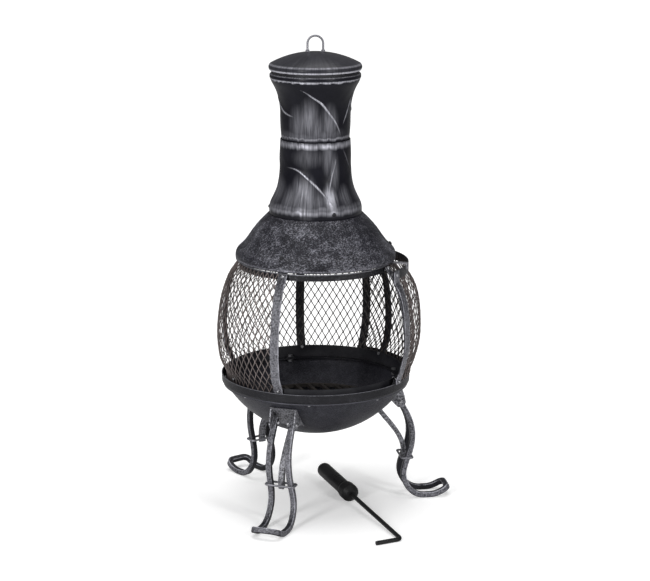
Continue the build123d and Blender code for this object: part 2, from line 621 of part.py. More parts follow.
grip_plane = Plane(origin=bend + along * POKER_GUARD_AT, z_dir=along)
bore = POKER_ROD / 2 + 0.05
guard_face = make_face(
    Polyline((bore, 0), (9.5, 0), (POKER_GUARD_RADIUS - 0.5, 6.0), (POKER_GUARD_RADIUS, 8.0),
             (POKER_GUARD_RADIUS, 24.0), (POKER_GUARD_RADIUS - 1.0, POKER_GUARD_LENGTH),
             (bore, POKER_GUARD_LENGTH), (bore, 0)))
save("poker_guard", grip_plane * revolve(Plane.XZ * guard_face, Axis.Z))

grip_start = POKER_GUARD_LENGTH + 0.1
grip_end = POKER_GUARD_LENGTH + POKER_GRIP_LENGTH
tip_start = grip_end - POKER_GRIP_RADIUS
socket_end = POKER_GUARD_LENGTH + 60.5
round_start = (POKER_GRIP_RADIUS, tip_start)
round_middle = (POKER_GRIP_RADIUS * cos(radians(45)), tip_start + POKER_GRIP_RADIUS * sin(radians(45)))
grip_face = make_face(
    Polyline((bore, socket_end), (bore, grip_start), (POKER_GRIP_RADIUS - 1.2, grip_start),
             (POKER_GRIP_RADIUS, grip_start + 6.0), round_start)
    + ThreePointArc(round_start, round_middle, (0, grip_end))
    + Polyline((0, grip_end), (0, socket_end), (bore, socket_end)))
save("poker_grip", grip_plane * revolve(Plane.XZ * grip_face, Axis.Z))
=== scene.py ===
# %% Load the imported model
import math
import bpy
import numpy as np
from mathutils import Matrix, Vector


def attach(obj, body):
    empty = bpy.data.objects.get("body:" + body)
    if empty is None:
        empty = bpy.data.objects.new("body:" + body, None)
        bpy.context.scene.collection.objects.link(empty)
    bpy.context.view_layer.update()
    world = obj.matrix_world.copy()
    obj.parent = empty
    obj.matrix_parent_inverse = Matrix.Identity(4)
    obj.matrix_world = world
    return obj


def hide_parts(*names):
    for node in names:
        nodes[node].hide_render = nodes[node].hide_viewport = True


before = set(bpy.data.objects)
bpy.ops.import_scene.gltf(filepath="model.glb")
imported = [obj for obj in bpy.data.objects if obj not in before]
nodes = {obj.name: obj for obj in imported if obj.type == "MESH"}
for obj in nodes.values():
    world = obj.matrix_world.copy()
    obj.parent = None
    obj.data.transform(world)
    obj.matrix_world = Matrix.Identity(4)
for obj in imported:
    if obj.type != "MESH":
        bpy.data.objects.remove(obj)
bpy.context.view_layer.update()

scene = bpy.context.scene
MM = 0.001
print("CAD nodes:", len(nodes))

# %% [markdown]
# ## The camera
# The chiminea is looked at from a little to its left and from well above its middle, with a long
# lens, so that the uprights stay parallel. A camera can be aimed with a constraint, but a matrix
# worked out from three directions is exact and leaves nothing live in the file. Blender's camera
# looks along its own -Z, so the matrix columns are right, up and the reverse of the line of sight.

# %% Camera
CAMERA_AZIMUTH = -18.5  # degrees from the front, anticlockwise seen from above
CAMERA_DISTANCE = 3.8
CAMERA_HEIGHT = 1.2825
CAMERA_PITCH = 13.0  # degrees below the horizon
CAMERA_YAW = 0.264  # degrees to the right of the axis
LENS = 116.25


def round_axis(azimuth, radius):
    """The (x, y) spot at an azimuth and radius: azimuth 0 faces the viewer's side, -Y."""
    turn = np.radians(azimuth)
    return radius * np.sin(turn), -radius * np.cos(turn)


def place_camera():
    """Stand the camera on its azimuth, aim it at the axis, then yaw and pitch it."""
    x, y = round_axis(CAMERA_AZIMUTH, CAMERA_DISTANCE)
    heading = math.atan2(-y, -x) - math.radians(CAMERA_YAW)
    pitch = math.radians(CAMERA_PITCH)
    level = Vector((math.cos(heading), math.sin(heading), 0))
    sight = level * math.cos(pitch) - Vector((0, 0, math.sin(pitch)))
    right = sight.cross(Vector((0, 0, 1))).normalized()
    up = right.cross(sight)
    camera = bpy.data.objects.new("camera", bpy.data.cameras.new("camera"))
    camera.data.lens = LENS
    camera.data.sensor_width = 36
    turn = Matrix((right, up, -sight)).transposed().to_4x4()
    camera.matrix_world = Matrix.Translation((x, y, CAMERA_HEIGHT)) @ turn
    scene.collection.objects.link(camera)
    scene.camera = camera
    return camera


print("camera at", [round(v, 3) for v in place_camera().matrix_world.translation])

# %% [markdown]
# ## The studio
# The floor is one large plain plane. Light comes from three soft panels: a wide one high above and
# two tall narrow ones, at the front left and the front right, whose glints run down the drums. Sun
# or point lamps would give hard shadows and pin-point glints, so area lights are used. A weak pale
# world keeps the shadows soft; the camera alone sees it pure white, past the floor's edge.

# %% Floor and lights
FLOOR_SIZE = 30.0
WORLD_LIGHT = 0.16  # what the world gives the chiminea; the camera sees 1.0


def soft_panel(name, place, target, width, height, watts):
    """A rectangular area light at a place, facing a target."""
    light = bpy.data.lights.new(name, "AREA")
    light.shape = "RECTANGLE"
    light.size = width
    light.size_y = height
    light.energy = watts
    panel = bpy.data.objects.new(name, light)
    sight = (Vector(target) - Vector(place)).normalized()
    turn = sight.to_track_quat("-Z", "Y").to_matrix().to_4x4()
    panel.matrix_world = Matrix.Translation(place) @ turn
    scene.collection.objects.link(panel)


def pale_world():
    """A white world, weak for every ray but the camera's."""
    world = bpy.data.worlds.new("studio")
    scene.world = world
    world.use_nodes = True
    tree = world.node_tree
    background = tree.nodes["Background"]
    background.inputs["Color"].default_value = (1.0, 1.0, 1.0, 1)
    seen_by_camera = tree.nodes.new("ShaderNodeLightPath").outputs["Is Camera Ray"]
    strength = tree.nodes.new("ShaderNodeMapRange")
    strength.inputs["To Min"].default_value = WORLD_LIGHT
    strength.inputs["To Max"].default_value = 1.0
    tree.links.new(seen_by_camera, strength.inputs["Value"])
    tree.links.new(strength.outputs["Result"], background.inputs["Strength"])


def lay_floor():
    """A flat square on Z = 0, given no body, so that it isn't part of the object."""
    half = FLOOR_SIZE / 2
    mesh = bpy.data.meshes.new("floor")
    corners = [(-half, -half, 0), (half, -half, 0), (half, half, 0), (-half, half, 0)]
    mesh.from_pydata(corners, [], [(0, 1, 2, 3)])
    floor = bpy.data.objects.new("floor", mesh)
    scene.collection.objects.link(floor)
    return floor


floor = lay_floor()
soft_panel("panel_above", (0.0, 0.3, 3.4), (0, 0, 0.2), 2.6, 2.6, 70)
soft_panel("panel_left", (-3.0, -2.4, 1.6), (0, 0, 0.5), 0.6, 2.4, 90)
soft_panel("panel_right", (1.4, -3.6, 1.7), (0, 0, 0.5), 0.5, 2.4, 65)
pale_world()
scene.view_settings.view_transform = "Standard"

# %% [markdown]
# ## Smooth lines and grids
# Every new piece here is a grid of points: rows go along one direction, columns along the other.
# A smooth line through a few measured spots gives the side view, and numpy turns it into a surface
# in one go. Drawing such shapes by hand with a Spin or Screw modifier is possible too, but a
# formula keeps each wall on the same curve as the CAD part that it stands for.

# %% Smooth line through points
def smooth_line(points, count):
    """Points spaced evenly along a natural cubic spline.

    Between two knots the curve is the cubic whose slope and bend agree with its neighbours, found
    from one system of linear equations; the bend is nil at both ends. The knots sit at their
    chord lengths. The result is read at even steps of its true length.
    """
    points = np.asarray(points, float)
    chord = np.r_[0, np.cumsum(np.linalg.norm(np.diff(points, axis=0), axis=1))]
    gap = np.diff(chord)
    size = len(points)
    system = np.eye(size)
    load = np.zeros_like(points)
    inner = np.arange(1, size - 1)
    system[inner, inner - 1] = gap[:-1]
    system[inner, inner] = 2 * (gap[:-1] + gap[1:])
    system[inner, inner + 1] = gap[1:]
    slope = np.diff(points, axis=0) / gap[:, None]
    load[inner] = 6 * np.diff(slope, axis=0)
    bend = np.linalg.solve(system, load)
    at = np.linspace(0, chord[-1], count * 6)
    i = np.clip(np.searchsorted(chord, at, "right") - 1, 0, size - 2)
    h = gap[i][:, None]
    t = (at - chord[i])[:, None]
    fine = (bend[i] * (h - t) ** 3 + bend[i + 1] * t ** 3) / (6 * h)
    straight = (points[i] / h - bend[i] * h / 6) * (h - t)
    straight += (points[i + 1] / h - bend[i + 1] * h / 6) * t
    fine += straight
    length = np.r_[0, np.cumsum(np.linalg.norm(np.diff(fine, axis=0), axis=1))]
    even = np.linspace(0, length[-1], count)
    return np.stack([np.interp(even, length, row) for row in fine.T], axis=1)


def outward(line):
    """The unit normal at each point of a (radius, height) line drawn from the top down: the
    direction along the line, turned a quarter turn to the outside."""
    along = np.gradient(line, axis=0)
    along /= np.linalg.norm(along, axis=1)[:, None]
    return np.stack([-along[:, 1], along[:, 0]], axis=1)


def length_along(line):
    """The distance from the line's start to each of its points."""
    return np.r_[0, np.cumsum(np.linalg.norm(np.diff(line, axis=0), axis=1))]


# %% Grid of points to mesh
def grid_piece(name, grid, wrap_rows, wrap_columns, marks=None, smooth=True):
    """A mesh from a (rows, columns, 3) grid in millimetres, or from a stack of such grids.

    Neighbours in both directions make a four-sided face; a wrapped direction also joins its last
    line to its first. Open ends of a tube are closed with one flat face each. The signed volume,
    the sum of each face's corner . (edge x edge) / 6, tells whether the faces point outwards,
    and the order of the corners is turned round if it is negative. marks are (rows, columns)
    values kept as point attributes.
    """
    grid = np.asarray(grid, float)
    stack = grid if grid.ndim == 4 else grid[None]
    copies, rows, columns = stack.shape[:3]
    index = np.arange(copies * rows * columns).reshape(copies, rows, columns)
    row_next = np.roll(index, -1, axis=1) if wrap_rows else index[:, 1:]
    here = index if wrap_rows else index[:, :-1]
    quad = np.stack([here, np.roll(here, -1, axis=2), np.roll(row_next, -1, axis=2), row_next],
                    axis=-1)
    if not wrap_columns:
        quad = quad[:, :, :-1]
    quad = quad.reshape(-1, 4)
    flat = stack.reshape(-1, 3) * MM
    a, b, c, d = (flat[quad[:, k]] for k in range(4))
    volume = np.sum(a * np.cross(b, c)) + np.sum(a * np.cross(c, d))
    if not wrap_rows:
        for end, sign in ((0, -1), (rows - 1, 1)):
            ring = flat[index[:, end]]
            fan = np.cross(ring, np.roll(ring, -1, axis=1)).sum(axis=1)
            volume += sign * np.sum(ring.mean(axis=1) * fan)
    flip = volume < 0
    if flip:
        quad = quad[:, ::-1]
    loops = quad.reshape(-1)
    starts = np.arange(len(quad)) * 4
    totals = np.full(len(quad), 4)
    if not wrap_rows:
        first = index[:, 0] if flip else index[:, 0, ::-1]
        last = index[:, -1, ::-1] if flip else index[:, -1]
        caps = np.concatenate([first, last])
        starts = np.r_[starts, len(loops) + np.arange(len(caps)) * columns]
        totals = np.r_[totals, np.full(len(caps), columns)]
        loops = np.r_[loops, caps.reshape(-1)]
    mesh = bpy.data.meshes.new(name)
    mesh.vertices.add(len(flat))
    mesh.vertices.foreach_set("co", flat.astype(np.float32).reshape(-1))
    mesh.loops.add(len(loops))
    mesh.loops.foreach_set("vertex_index", loops.astype(np.int32))
    mesh.polygons.add(len(starts))
    mesh.polygons.foreach_set("loop_start", starts.astype(np.int32))
    mesh.polygons.foreach_set("loop_total", totals.astype(np.int32))
    shade = np.full(len(starts), smooth)
    if not wrap_rows:
        shade[len(quad):] = False
    mesh.polygons.foreach_set("use_smooth", shade)
    mesh.update(calc_edges=True)
    for mark, values in (marks or {}).items():
        kept = mesh.attributes.new(mark, "FLOAT", "POINT")
        kept.data.foreach_set("value", np.asarray(values, np.float32).reshape(-1))
    if mesh.validate():
        print("  validate changed", name)
    piece = bpy.data.objects.new(name, mesh)
    scene.collection.objects.link(piece)
    return piece


def settle(piece, body, stands_for, material):
    """Give a finished piece its body and its material, hide its CAD nodes, and report it."""
    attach(piece, body)
    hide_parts(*stands_for)
    piece.data.materials.clear()
    piece.data.materials.append(material)
    triangles = sum(len(p.vertices) - 2 for p in piece.data.polygons)
    size = [round(v * 1000) for v in piece.dimensions]
    print(f"{piece.name}: {triangles} triangles, {size} mm")


# %% [markdown]
# ## Hammer marks and soft bumps
# Hammered sheet is a field of shallow round dents that touch each other. The same thing can be
# had from a Voronoi texture on a Displace modifier; here the dents are worked out in numpy, on a
# lattice whose cells each hold one dent at a random spot, so they close up round a ring with no
# seam and are real geometry.

# %% Dents and soft noise
LATTICE = 257  # random values along each side of a table, after which it repeats


def dents(u, v, size, seed, around=None):
    """Distance, in dent sizes, from each (u, v) spot to the nearest dent's middle.

    The plane is cut in square cells; each holds one middle, moved from its corner by a random
    part of a cell. The nearest of the nine middles about each spot wins. around is the number
    of cells after which u starts again.
    """
    draws = np.random.default_rng(seed)
    table = draws.random((LATTICE, LATTICE, 2))
    gu = np.asarray(u, float) / size
    gv = np.asarray(v, float) / size
    best = np.full(np.broadcast(gu, gv).shape, 9.0)
    for du in (-1, 0, 1):
        for dv in (-1, 0, 1):
            cu = np.floor(gu) + du
            cv = np.floor(gv) + dv
            key_u = (np.mod(cu, around) if around else cu).astype(int) % LATTICE
            move = table[key_u, cv.astype(int) % LATTICE]
            best = np.minimum(best, np.hypot(cu + move[..., 0] - gu, cv + move[..., 1] - gv))
    return best


def soft_noise(u, v, size, seed, around=None):
    """Smooth random values from -1 to 1: random heights on a square lattice, blended between the
    four nearest by the curve 3t^2 - 2t^3."""
    draws = np.random.default_rng(seed)
    table = draws.random((LATTICE, LATTICE)) * 2 - 1
    gu, gv = np.broadcast_arrays(np.asarray(u, float) / size, np.asarray(v, float) / size)
    iu, iv = np.floor(gu), np.floor(gv)
    fu, fv = gu - iu, gv - iv
    fu, fv = fu * fu * (3 - 2 * fu), fv * fv * (3 - 2 * fv)
    u0 = (np.mod(iu, around) if around else iu).astype(int) % LATTICE
    u1 = (np.mod(iu + 1, around) if around else iu + 1).astype(int) % LATTICE
    v0, v1 = iv.astype(int) % LATTICE, (iv.astype(int) + 1) % LATTICE
    near = table[u0, v0] * (1 - fu) + table[u1, v0] * fu
    far = table[u0, v1] * (1 - fu) + table[u1, v1] * fu
    return near * (1 - fv) + far * fv


print("dents and soft noise ready")

# %% [markdown]
# ## Paint and metal as node groups
# Everything on this chiminea is black paint over sheet steel, with silver rubbed over it: dry
# brushed in upright streaks on the drums, dabbed on the hammered hood, straps and legs. So one
# group gives streaks, one gives hammer marks and specks, and one gives a thin film of dust and
# soot. Each material places them with its own sizes. The groups read a place that the material
# hands them, and put out only masks and heights.

# %% Node helpers and shared groups
def put(tree, kind, values=None, **settings):
    """Add a node: settings are its own choices, values go to its inputs as links or constants."""
    made = tree.nodes.new(kind)
    for name, value in settings.items():
        setattr(made, name, value)
    for socket, value in (values or {}).items():
        if isinstance(value, bpy.types.NodeSocket):
            tree.links.new(value, made.inputs[socket])
        else:
            made.inputs[socket].default_value = value
    return made


def maths(tree, operation, *terms, clamp=False):
    """One Math node on two or three terms; gives its output."""
    return put(tree, "ShaderNodeMath", dict(enumerate(terms)), operation=operation,
               use_clamp=clamp).outputs[0]


def ramp(tree, value, low, high, to_low=0.0, to_high=1.0):
    """A clamped Map Range from low..high to to_low..to_high."""
    terms = {0: value, 1: low, 2: high, 3: to_low, 4: to_high}
    return put(tree, "ShaderNodeMapRange", terms).outputs[0]


def weighted(tree, *parts):
    """The sum of some values, each times its weight."""
    total, *rest = [maths(tree, "MULTIPLY", value, weight) for value, weight in parts]
    for term in rest:
        total = maths(tree, "ADD", total, term)
    return total


def blend_colour(tree, mask, first, second):
    """Mix two colours by a mask."""
    return put(tree, "ShaderNodeMix", {0: mask, 6: first, 7: second}, data_type="RGBA").outputs[2]


def noise(tree, place, scale, detail=4.0, rough=0.55):
    """A Noise Texture's value at a place."""
    made = put(tree, "ShaderNodeTexNoise",
               {"Vector": place, "Scale": scale, "Detail": detail, "Roughness": rough})
    return made.outputs[0]


def vector(tree, operation, *terms):
    """One Vector Math node; gives its vector output."""
    return put(tree, "ShaderNodeVectorMath", dict(enumerate(terms)), operation=operation).outputs[0]


def stretched(tree, place, stretch):
    """A place with each axis multiplied."""
    return vector(tree, "MULTIPLY", place, stretch)


def evened(tree, value):
    """Noise values crowd round a half: this spreads the middle part over the whole 0 to 1."""
    return ramp(tree, value, 0.3, 0.7)


def new_group(name, outputs, **inputs):
    """An empty shader group that takes a place and the inputs given with their first values; a
    tuple makes a vector input. Gives the tree, the input node and the output node."""
    tree = bpy.data.node_groups.new(name, "ShaderNodeTree")
    tree.interface.new_socket("Place", in_out="INPUT", socket_type="NodeSocketVector")
    for label, value in inputs.items():
        kind = "NodeSocketVector" if isinstance(value, tuple) else "NodeSocketFloat"
        socket = tree.interface.new_socket(label, in_out="INPUT", socket_type=kind)
        socket.default_value = value
    for label in outputs:
        tree.interface.new_socket(label, in_out="OUTPUT", socket_type="NodeSocketFloat")
    return tree, put(tree, "NodeGroupInput"), put(tree, "NodeGroupOutput")


STREAK_RADIUS = 0.07  # metres: the drums' middle radius, on which streaks are drawn
STREAK_SQUASH = 0.055  # heights times this, so that a streak is 18 times as long as wide
DAB_SQUASH = 0.2  # the same for the broader brush dabs
WOBBLE = 0.0016  # metres that noise shifts the hammer marks by
SPREAD = 0.35  # how softly one hammer mark runs into the next


def make_streaks():
    """Upright brush streaks: fine and broad noise drawn out along the height.

    The fine noise is read on a cylinder of one radius, so that the streaks stay upright where a
    wall flares.
    """
    tree, given, out = new_group("brush_streaks", ["Streaks"], Fineness=420.0, Cover=0.5)
    place = given.outputs["Place"]
    unit = vector(tree, "NORMALIZE", stretched(tree, place, (1.0, 1.0, 0.0)))
    drawn_out = vector(tree, "ADD", stretched(tree, unit, (STREAK_RADIUS, STREAK_RADIUS, 0.0)),
                       stretched(tree, place, (0.0, 0.0, STREAK_SQUASH)))
    fine = evened(tree, noise(tree, drawn_out, given.outputs["Fineness"], 3.0, 0.6))
    broad = evened(tree, noise(tree, stretched(tree, place, (1.0, 1.0, DAB_SQUASH)), 110.0, 3.0))
    grain = weighted(tree, (fine, 0.75), (broad, 0.25))
    shade = maths(tree, "ADD", 0.15, maths(tree, "MULTIPLY", grain, 1.7))
    cover = ramp(tree, given.outputs["Cover"], 0.04, 1.0)
    streaks = maths(tree, "MULTIPLY", cover, shade, clamp=True)
    tree.links.new(streaks, out.inputs["Streaks"])
    return tree


def make_hammer_marks():
    """Hammer marks: rounded Voronoi cells for the height, and high spots broken by noise that
    the silver catches."""
    tree, given, out = new_group("hammer_marks", ["Height", "Silver"], Size=0.004,
                                 Flatten=(1.0, 1.0, 1.0), Cover=0.5, Contrast=1.5)
    place = stretched(tree, given.outputs["Place"], given.outputs["Flatten"])
    shift = put(tree, "ShaderNodeTexNoise", {"Vector": place, "Scale": 260.0, "Detail": 2.0})
    place = vector(tree, "ADD", place, stretched(tree, shift.outputs["Color"], (WOBBLE,) * 3))
    cells = put(tree, "ShaderNodeTexVoronoi",
                {"Vector": place, "Scale": maths(tree, "DIVIDE", 1.0, given.outputs["Size"])},
                feature="SMOOTH_F1")
    cells.inputs["Smoothness"].default_value = SPREAD
    height = ramp(tree, cells.outputs["Distance"], 0.1, 0.75)
    grit = evened(tree, noise(tree, place, 850.0, 3.0, 0.65))
    patches = evened(tree, noise(tree, given.outputs["Place"], 60.0, 3.0))
    grain = weighted(tree, (height, 0.34), (grit, 0.38), (patches, 0.16))
    middle = 0.44  # what the grain comes to on average
    dab = maths(tree, "MULTIPLY", maths(tree, "SUBTRACT", grain, middle), given.outputs["Contrast"])
    silver = ramp(tree, maths(tree, "ADD", given.outputs["Cover"], dab), 0.2, 0.9)
    rough_height = maths(tree, "ADD", height, maths(tree, "MULTIPLY", grit, 0.35))
    tree.links.new(rough_height, out.inputs["Height"])
    tree.links.new(silver, out.inputs["Silver"])
    return tree


def make_film():
    """A thin uneven film, of dust or soot: two sizes of noise, one gathered in patches."""
    tree, given, out = new_group("thin_film", ["Film"], Patch=22.0, Amount=0.5)
    wide = noise(tree, given.outputs["Place"], given.outputs["Patch"], 4.0)
    fine = noise(tree, given.outputs["Place"], 700.0, 3.0, 0.7)
    film = weighted(tree, (ramp(tree, wide, 0.35, 0.7), 0.65), (ramp(tree, fine, 0.35, 0.7), 0.35))
    tree.links.new(maths(tree, "MULTIPLY", film, given.outputs["Amount"]), out.inputs["Film"])
    return tree


STREAKS = make_streaks()
HAMMER_MARKS = make_hammer_marks()
FILM = make_film()
print("node groups:", [g.name for g in (STREAKS, HAMMER_MARKS, FILM)])

# %% [markdown]
# ## The finishes
# A finish starts with Object coordinates, which stay put on each piece, and the mark called
# silver_and_highlight, a value kept at the points of the pieces made here: it says where the
# maker's brushed silver lies, and where highlights are painted on lips, rims, edges and mesh
# strands. The silver is metallic and a little rougher than the black paint under it, and slight
# relief from a
# Bump node carries the grain that is too fine for the mesh. The black reflects little, so that it
# stays black in a white room.

# %% Painted finishes
BLACK = (0.006, 0.006, 0.009, 1.0)
DUSTY_BLACK = (0.012, 0.012, 0.017, 1)
SILVER = (0.55, 0.55, 0.61, 1.0)
# the cap's silver rim and the crest of its rolled edge also carry painted highlight lines
CAP_RIM_TOP = 0.8205  # metres above the ground: silver below this, and full at the next
CAP_RIM_FULL = 0.8185
CAP_CREST = 0.8275  # the cap's rolled edge, and how far the silver reaches about it
CREST_REACH = 0.0022
EDGE_REACH = 0.0012  # how far down the worn top edge of a ring, a tray or a bowl, with its painted highlight, reaches


class Finish:
    """A material under way: its tree, its shader and the place that patterns read."""

    def __init__(self, name, metallic, roughness, specular=0.5):
        self.material = bpy.data.materials.new(name)
        self.material.use_nodes = True
        self.tree = self.material.node_tree
        self.shader = self.tree.nodes["Principled BSDF"]
        self.shader.inputs["Metallic"].default_value = metallic
        self.shader.inputs["Roughness"].default_value = roughness
        self.shader.inputs["Specular IOR Level"].default_value = specular
        self.place = put(self.tree, "ShaderNodeTexCoord").outputs["Object"]
        self.material.diffuse_color = (0.1, 0.1, 0.1, 1)

    def group(self, tree, output, **values):
        """Place a shared group, fed with the place, and give one output."""
        values["Place"] = self.place
        return put(self.tree, "ShaderNodeGroup", values, node_tree=tree).outputs[output]

    def mark(self, name):
        """A value kept at the piece's points."""
        return put(self.tree, "ShaderNodeAttribute", attribute_name=name).outputs["Fac"]

    def height(self):
        """The height above the ground, from the place."""
        return put(self.tree, "ShaderNodeSeparateXYZ", {0: self.place}).outputs["Z"]

    def feed(self, socket, value):
        """Link a value to one of the shader's inputs."""
        self.tree.links.new(value, self.shader.inputs[socket])

    def relief(self, height, distance, strength=1.0):
        """Fine relief from a height."""
        bump = put(self.tree, "ShaderNodeBump",
                   {"Height": height, "Distance": distance, "Strength": strength})
        self.feed("Normal", bump.outputs["Normal"])


def brushed_black(name, on_cad=False):
    """Black enamel with upright dry-brushed silver, and painted highlight lines, where the
    silver_and_highlight mark is strong. The cap has no marks, so its mark comes from the height:
    its rim and, less, the crest of its rolled edge, each silver with a painted highlight line."""
    made = Finish(name, 0.0, 0.34, 0.12)
    tree = made.tree
    if on_cad:
        # the cap's rim and crest: silver with a painted highlight line
        cap_rim_silver_and_highlight = ramp(tree, made.height(), CAP_RIM_TOP, CAP_RIM_FULL)
        above_crest = maths(tree, "SUBTRACT", made.height(), CAP_CREST)
        crest_silver_and_highlight = ramp(tree, maths(tree, "ABSOLUTE", above_crest), CREST_REACH, 0.0)
        silver_and_highlight = maths(tree, "ADD", weighted(tree, (cap_rim_silver_and_highlight, 0.9), (crest_silver_and_highlight, 0.35)), 0.075)
    else:
        silver_and_highlight = made.mark("silver_and_highlight")
    silver = made.group(STREAKS, "Streaks", Cover=silver_and_highlight)
    film = made.group(FILM, "Film", Amount=1.0)
    paint = blend_colour(tree, film, BLACK, DUSTY_BLACK)
    made.feed("Base Color", blend_colour(tree, silver, paint, SILVER))
    made.feed("Metallic", maths(tree, "MULTIPLY", silver, 0.7))
    made.feed("Roughness", ramp(tree, silver, 0.0, 1.0, 0.3, 0.45))
    made.relief(maths(tree, "ADD", silver, film), 0.00012, 0.5)
    return made.material


def hammered(name, size, cover, paint, silver, flatten=(1.0, 1.0, 1.0), marked=True, contrast=1.7,
             depth=0.0003, edge=None):
    """Hammered steel: black in the dents, dabbed silver on the high spots. A marked piece tells
    where by its silver_and_highlight mark; on another, cover holds all over and edge is the height
    of a worn top edge, which also carries a painted highlight line."""
    made = Finish(name, 0.0, 0.42, 0.2)
    tree = made.tree
    amount = maths(tree, "MULTIPLY", made.mark("silver_and_highlight"), cover) if marked else cover
    if edge:
        # a worn silver top edge with a painted highlight line along it
        worn_edge_and_highlight = ramp(tree, made.height(), edge - EDGE_REACH, edge)
        amount = maths(tree, "ADD", maths(tree, "MULTIPLY", worn_edge_and_highlight, 0.75), cover)
    bright = made.group(HAMMER_MARKS, "Silver", Size=size, Flatten=flatten, Cover=amount,
                        Contrast=contrast)
    height = made.group(HAMMER_MARKS, "Height", Size=size, Flatten=flatten, Cover=cover)
    film = made.group(FILM, "Film", Amount=1.0)
    base = blend_colour(tree, film, paint, tuple(1.8 * v for v in paint[:3]) + (1.0,))
    made.feed("Base Color", blend_colour(tree, bright, base, silver))
    made.feed("Metallic", maths(tree, "MULTIPLY", bright, 0.8))
    made.feed("Roughness", ramp(tree, maths(tree, "ADD", bright, film), 0.0, 2.0, 0.38, 0.5))
    made.relief(height, depth, 0.7)
    return made.material


def plain_coat(name, paint, dust, dusty, roughness, metallic=0.0, grain=600.0, depth=0.0001,
               specular=0.22):
    """A plain coat with fine grain, a dusty or sooty film and uneven gloss."""
    made = Finish(name, metallic, roughness, specular)
    tree = made.tree
    film = made.group(FILM, "Film", Amount=dusty)
    made.feed("Base Color", blend_colour(tree, film, paint, dust))
    rougher = min(1.0, roughness + 0.2)
    made.feed("Roughness", ramp(tree, film, 0.0, 1.0, roughness - 0.05, rougher))
    made.relief(noise(tree, made.place, grain, 4.0, 0.6), depth, 0.6)
    return made.material


def mesh_iron():
    """Expanded mesh: brown-black, with a painted warm grey highlight where the strands stand out.
    """
    made = Finish("mesh_iron", 0.0, 0.46)
    tree = made.tree
    film = made.group(FILM, "Film", Amount=1.0, Patch=45.0)
    # high: the painted highlight on the strands' outer faces
    high = maths(tree, "MULTIPLY", made.mark("silver_and_highlight"), ramp(tree, film, 0.0, 0.6, 0.35, 1.0))
    paint = blend_colour(tree, film, (0.012, 0.0095, 0.009, 1), (0.035, 0.026, 0.023, 1))
    made.feed("Base Color", blend_colour(tree, high, paint, (0.33, 0.275, 0.265, 1)))
    made.feed("Metallic", maths(tree, "MULTIPLY", high, 0.6))
    made.feed("Roughness", ramp(tree, film, 0.0, 1.0, 0.4, 0.62))
    made.relief(noise(tree, made.place, 900.0, 3.0), 0.0001, 0.6)
    return made.material


DRUM_COAT = brushed_black("brushed_black")
CAP_COAT = brushed_black("brushed_black_cap", on_cad=True)
HOOD_COAT = hammered("hammered_hood", 0.0028, 1.0, BLACK, (0.42, 0.42, 0.48, 1), (1.0, 1.0, 2.8))
BAND_COAT = hammered("hammered_silver", 0.003, 1.0, (0.012, 0.012, 0.015, 1), (0.56, 0.56, 0.62, 1),
                     contrast=0.55)
PLATE_COAT = hammered("hammered_silver_plate", 0.0036, 0.42, (0.014, 0.014, 0.017, 1),
                      (0.36, 0.36, 0.39, 1), marked=False)
RING_COAT = hammered("hammered_ring", 0.0036, 0.06, (0.01, 0.01, 0.012, 1),
                     (0.34, 0.34, 0.38, 1), marked=False, contrast=1.0, edge=0.465)
BOWL_COAT = hammered("charcoal_bowl", 0.003, 0.3, (0.01, 0.01, 0.014, 1),
                     (0.085, 0.085, 0.1, 1), (1.0, 1.0, 3.0), marked=False, edge=0.2335)
TRAY_COAT = hammered("charcoal_tray", 0.003, 0.03, (0.008, 0.008, 0.01, 1),
                     (0.24, 0.24, 0.27, 1), (1.0, 1.0, 2.0), marked=False, contrast=0.9,
                     edge=0.252)
SHEET_COAT = plain_coat("black_sheet", BLACK, (0.05, 0.05, 0.055, 1), 0.6, 0.5)
MESH_COAT = mesh_iron()
GRATE_COAT = plain_coat("grate_iron", (0.02, 0.017, 0.015, 1), (0.09, 0.08, 0.075, 1), 0.8, 0.7,
                        grain=350.0, depth=0.0004)
FASTENER_COAT = plain_coat("fastener_steel", (0.4, 0.4, 0.42, 1), (0.12, 0.12, 0.13, 1), 0.5, 0.34,
                           metallic=0.85)
WORN_COAT = plain_coat("worn_steel", (0.34, 0.34, 0.37, 1), (0.09, 0.09, 0.1, 1), 0.8, 0.4,
                       metallic=0.7)
POKER_COAT = plain_coat("poker_black", (0.008, 0.008, 0.009, 1), (0.02, 0.02, 0.02, 1), 0.6, 0.38)
GRIP_COAT = plain_coat("grip_black", (0.006, 0.006, 0.007, 1), (0.016, 0.016, 0.017, 1), 0.6, 0.3,
                       grain=240.0, depth=0.0002)


FLOOR_GLOW = 0.34  # the floor's own light at the middle, for the camera only
GLOW_BESIDE = 0.52  # the same, past the soft shadow
GLOW_FAR = 0.5  # what is added to it a few metres off


def pale_floor():
    """A matt pale floor. What the camera sees of it gets a little painted light of its own, as a
    sweep of paper lit from all round in a studio would show, less below the chiminea, as a painted
    soft shadow; the chiminea still gets only what the floor reflects."""
    made = Finish("pale_floor", 0.0, 0.9, 0.1)
    tree = made.tree
    film = made.group(FILM, "Film", Amount=0.4, Patch=3.0)
    made.feed("Base Color", blend_colour(tree, film, (0.8, 0.8, 0.8, 1), (0.78, 0.78, 0.78, 1)))
    seen = put(tree, "ShaderNodeLightPath").outputs["Is Camera Ray"]
    far = put(tree, "ShaderNodeVectorMath", {0: made.place}, operation="LENGTH").outputs["Value"]
    # the camera-only glow, dimmer near the middle: a painted soft shadow
    glow = maths(tree, "ADD", ramp(tree, far, 0.12, 0.42, FLOOR_GLOW, GLOW_BESIDE),
                 ramp(tree, far, 0.5, 4.0, 0.0, GLOW_FAR))
    made.feed("Emission Strength", maths(tree, "MULTIPLY", seen, glow))
    made.shader.inputs["Emission Color"].default_value = (1, 1, 1, 1)
    return made.material


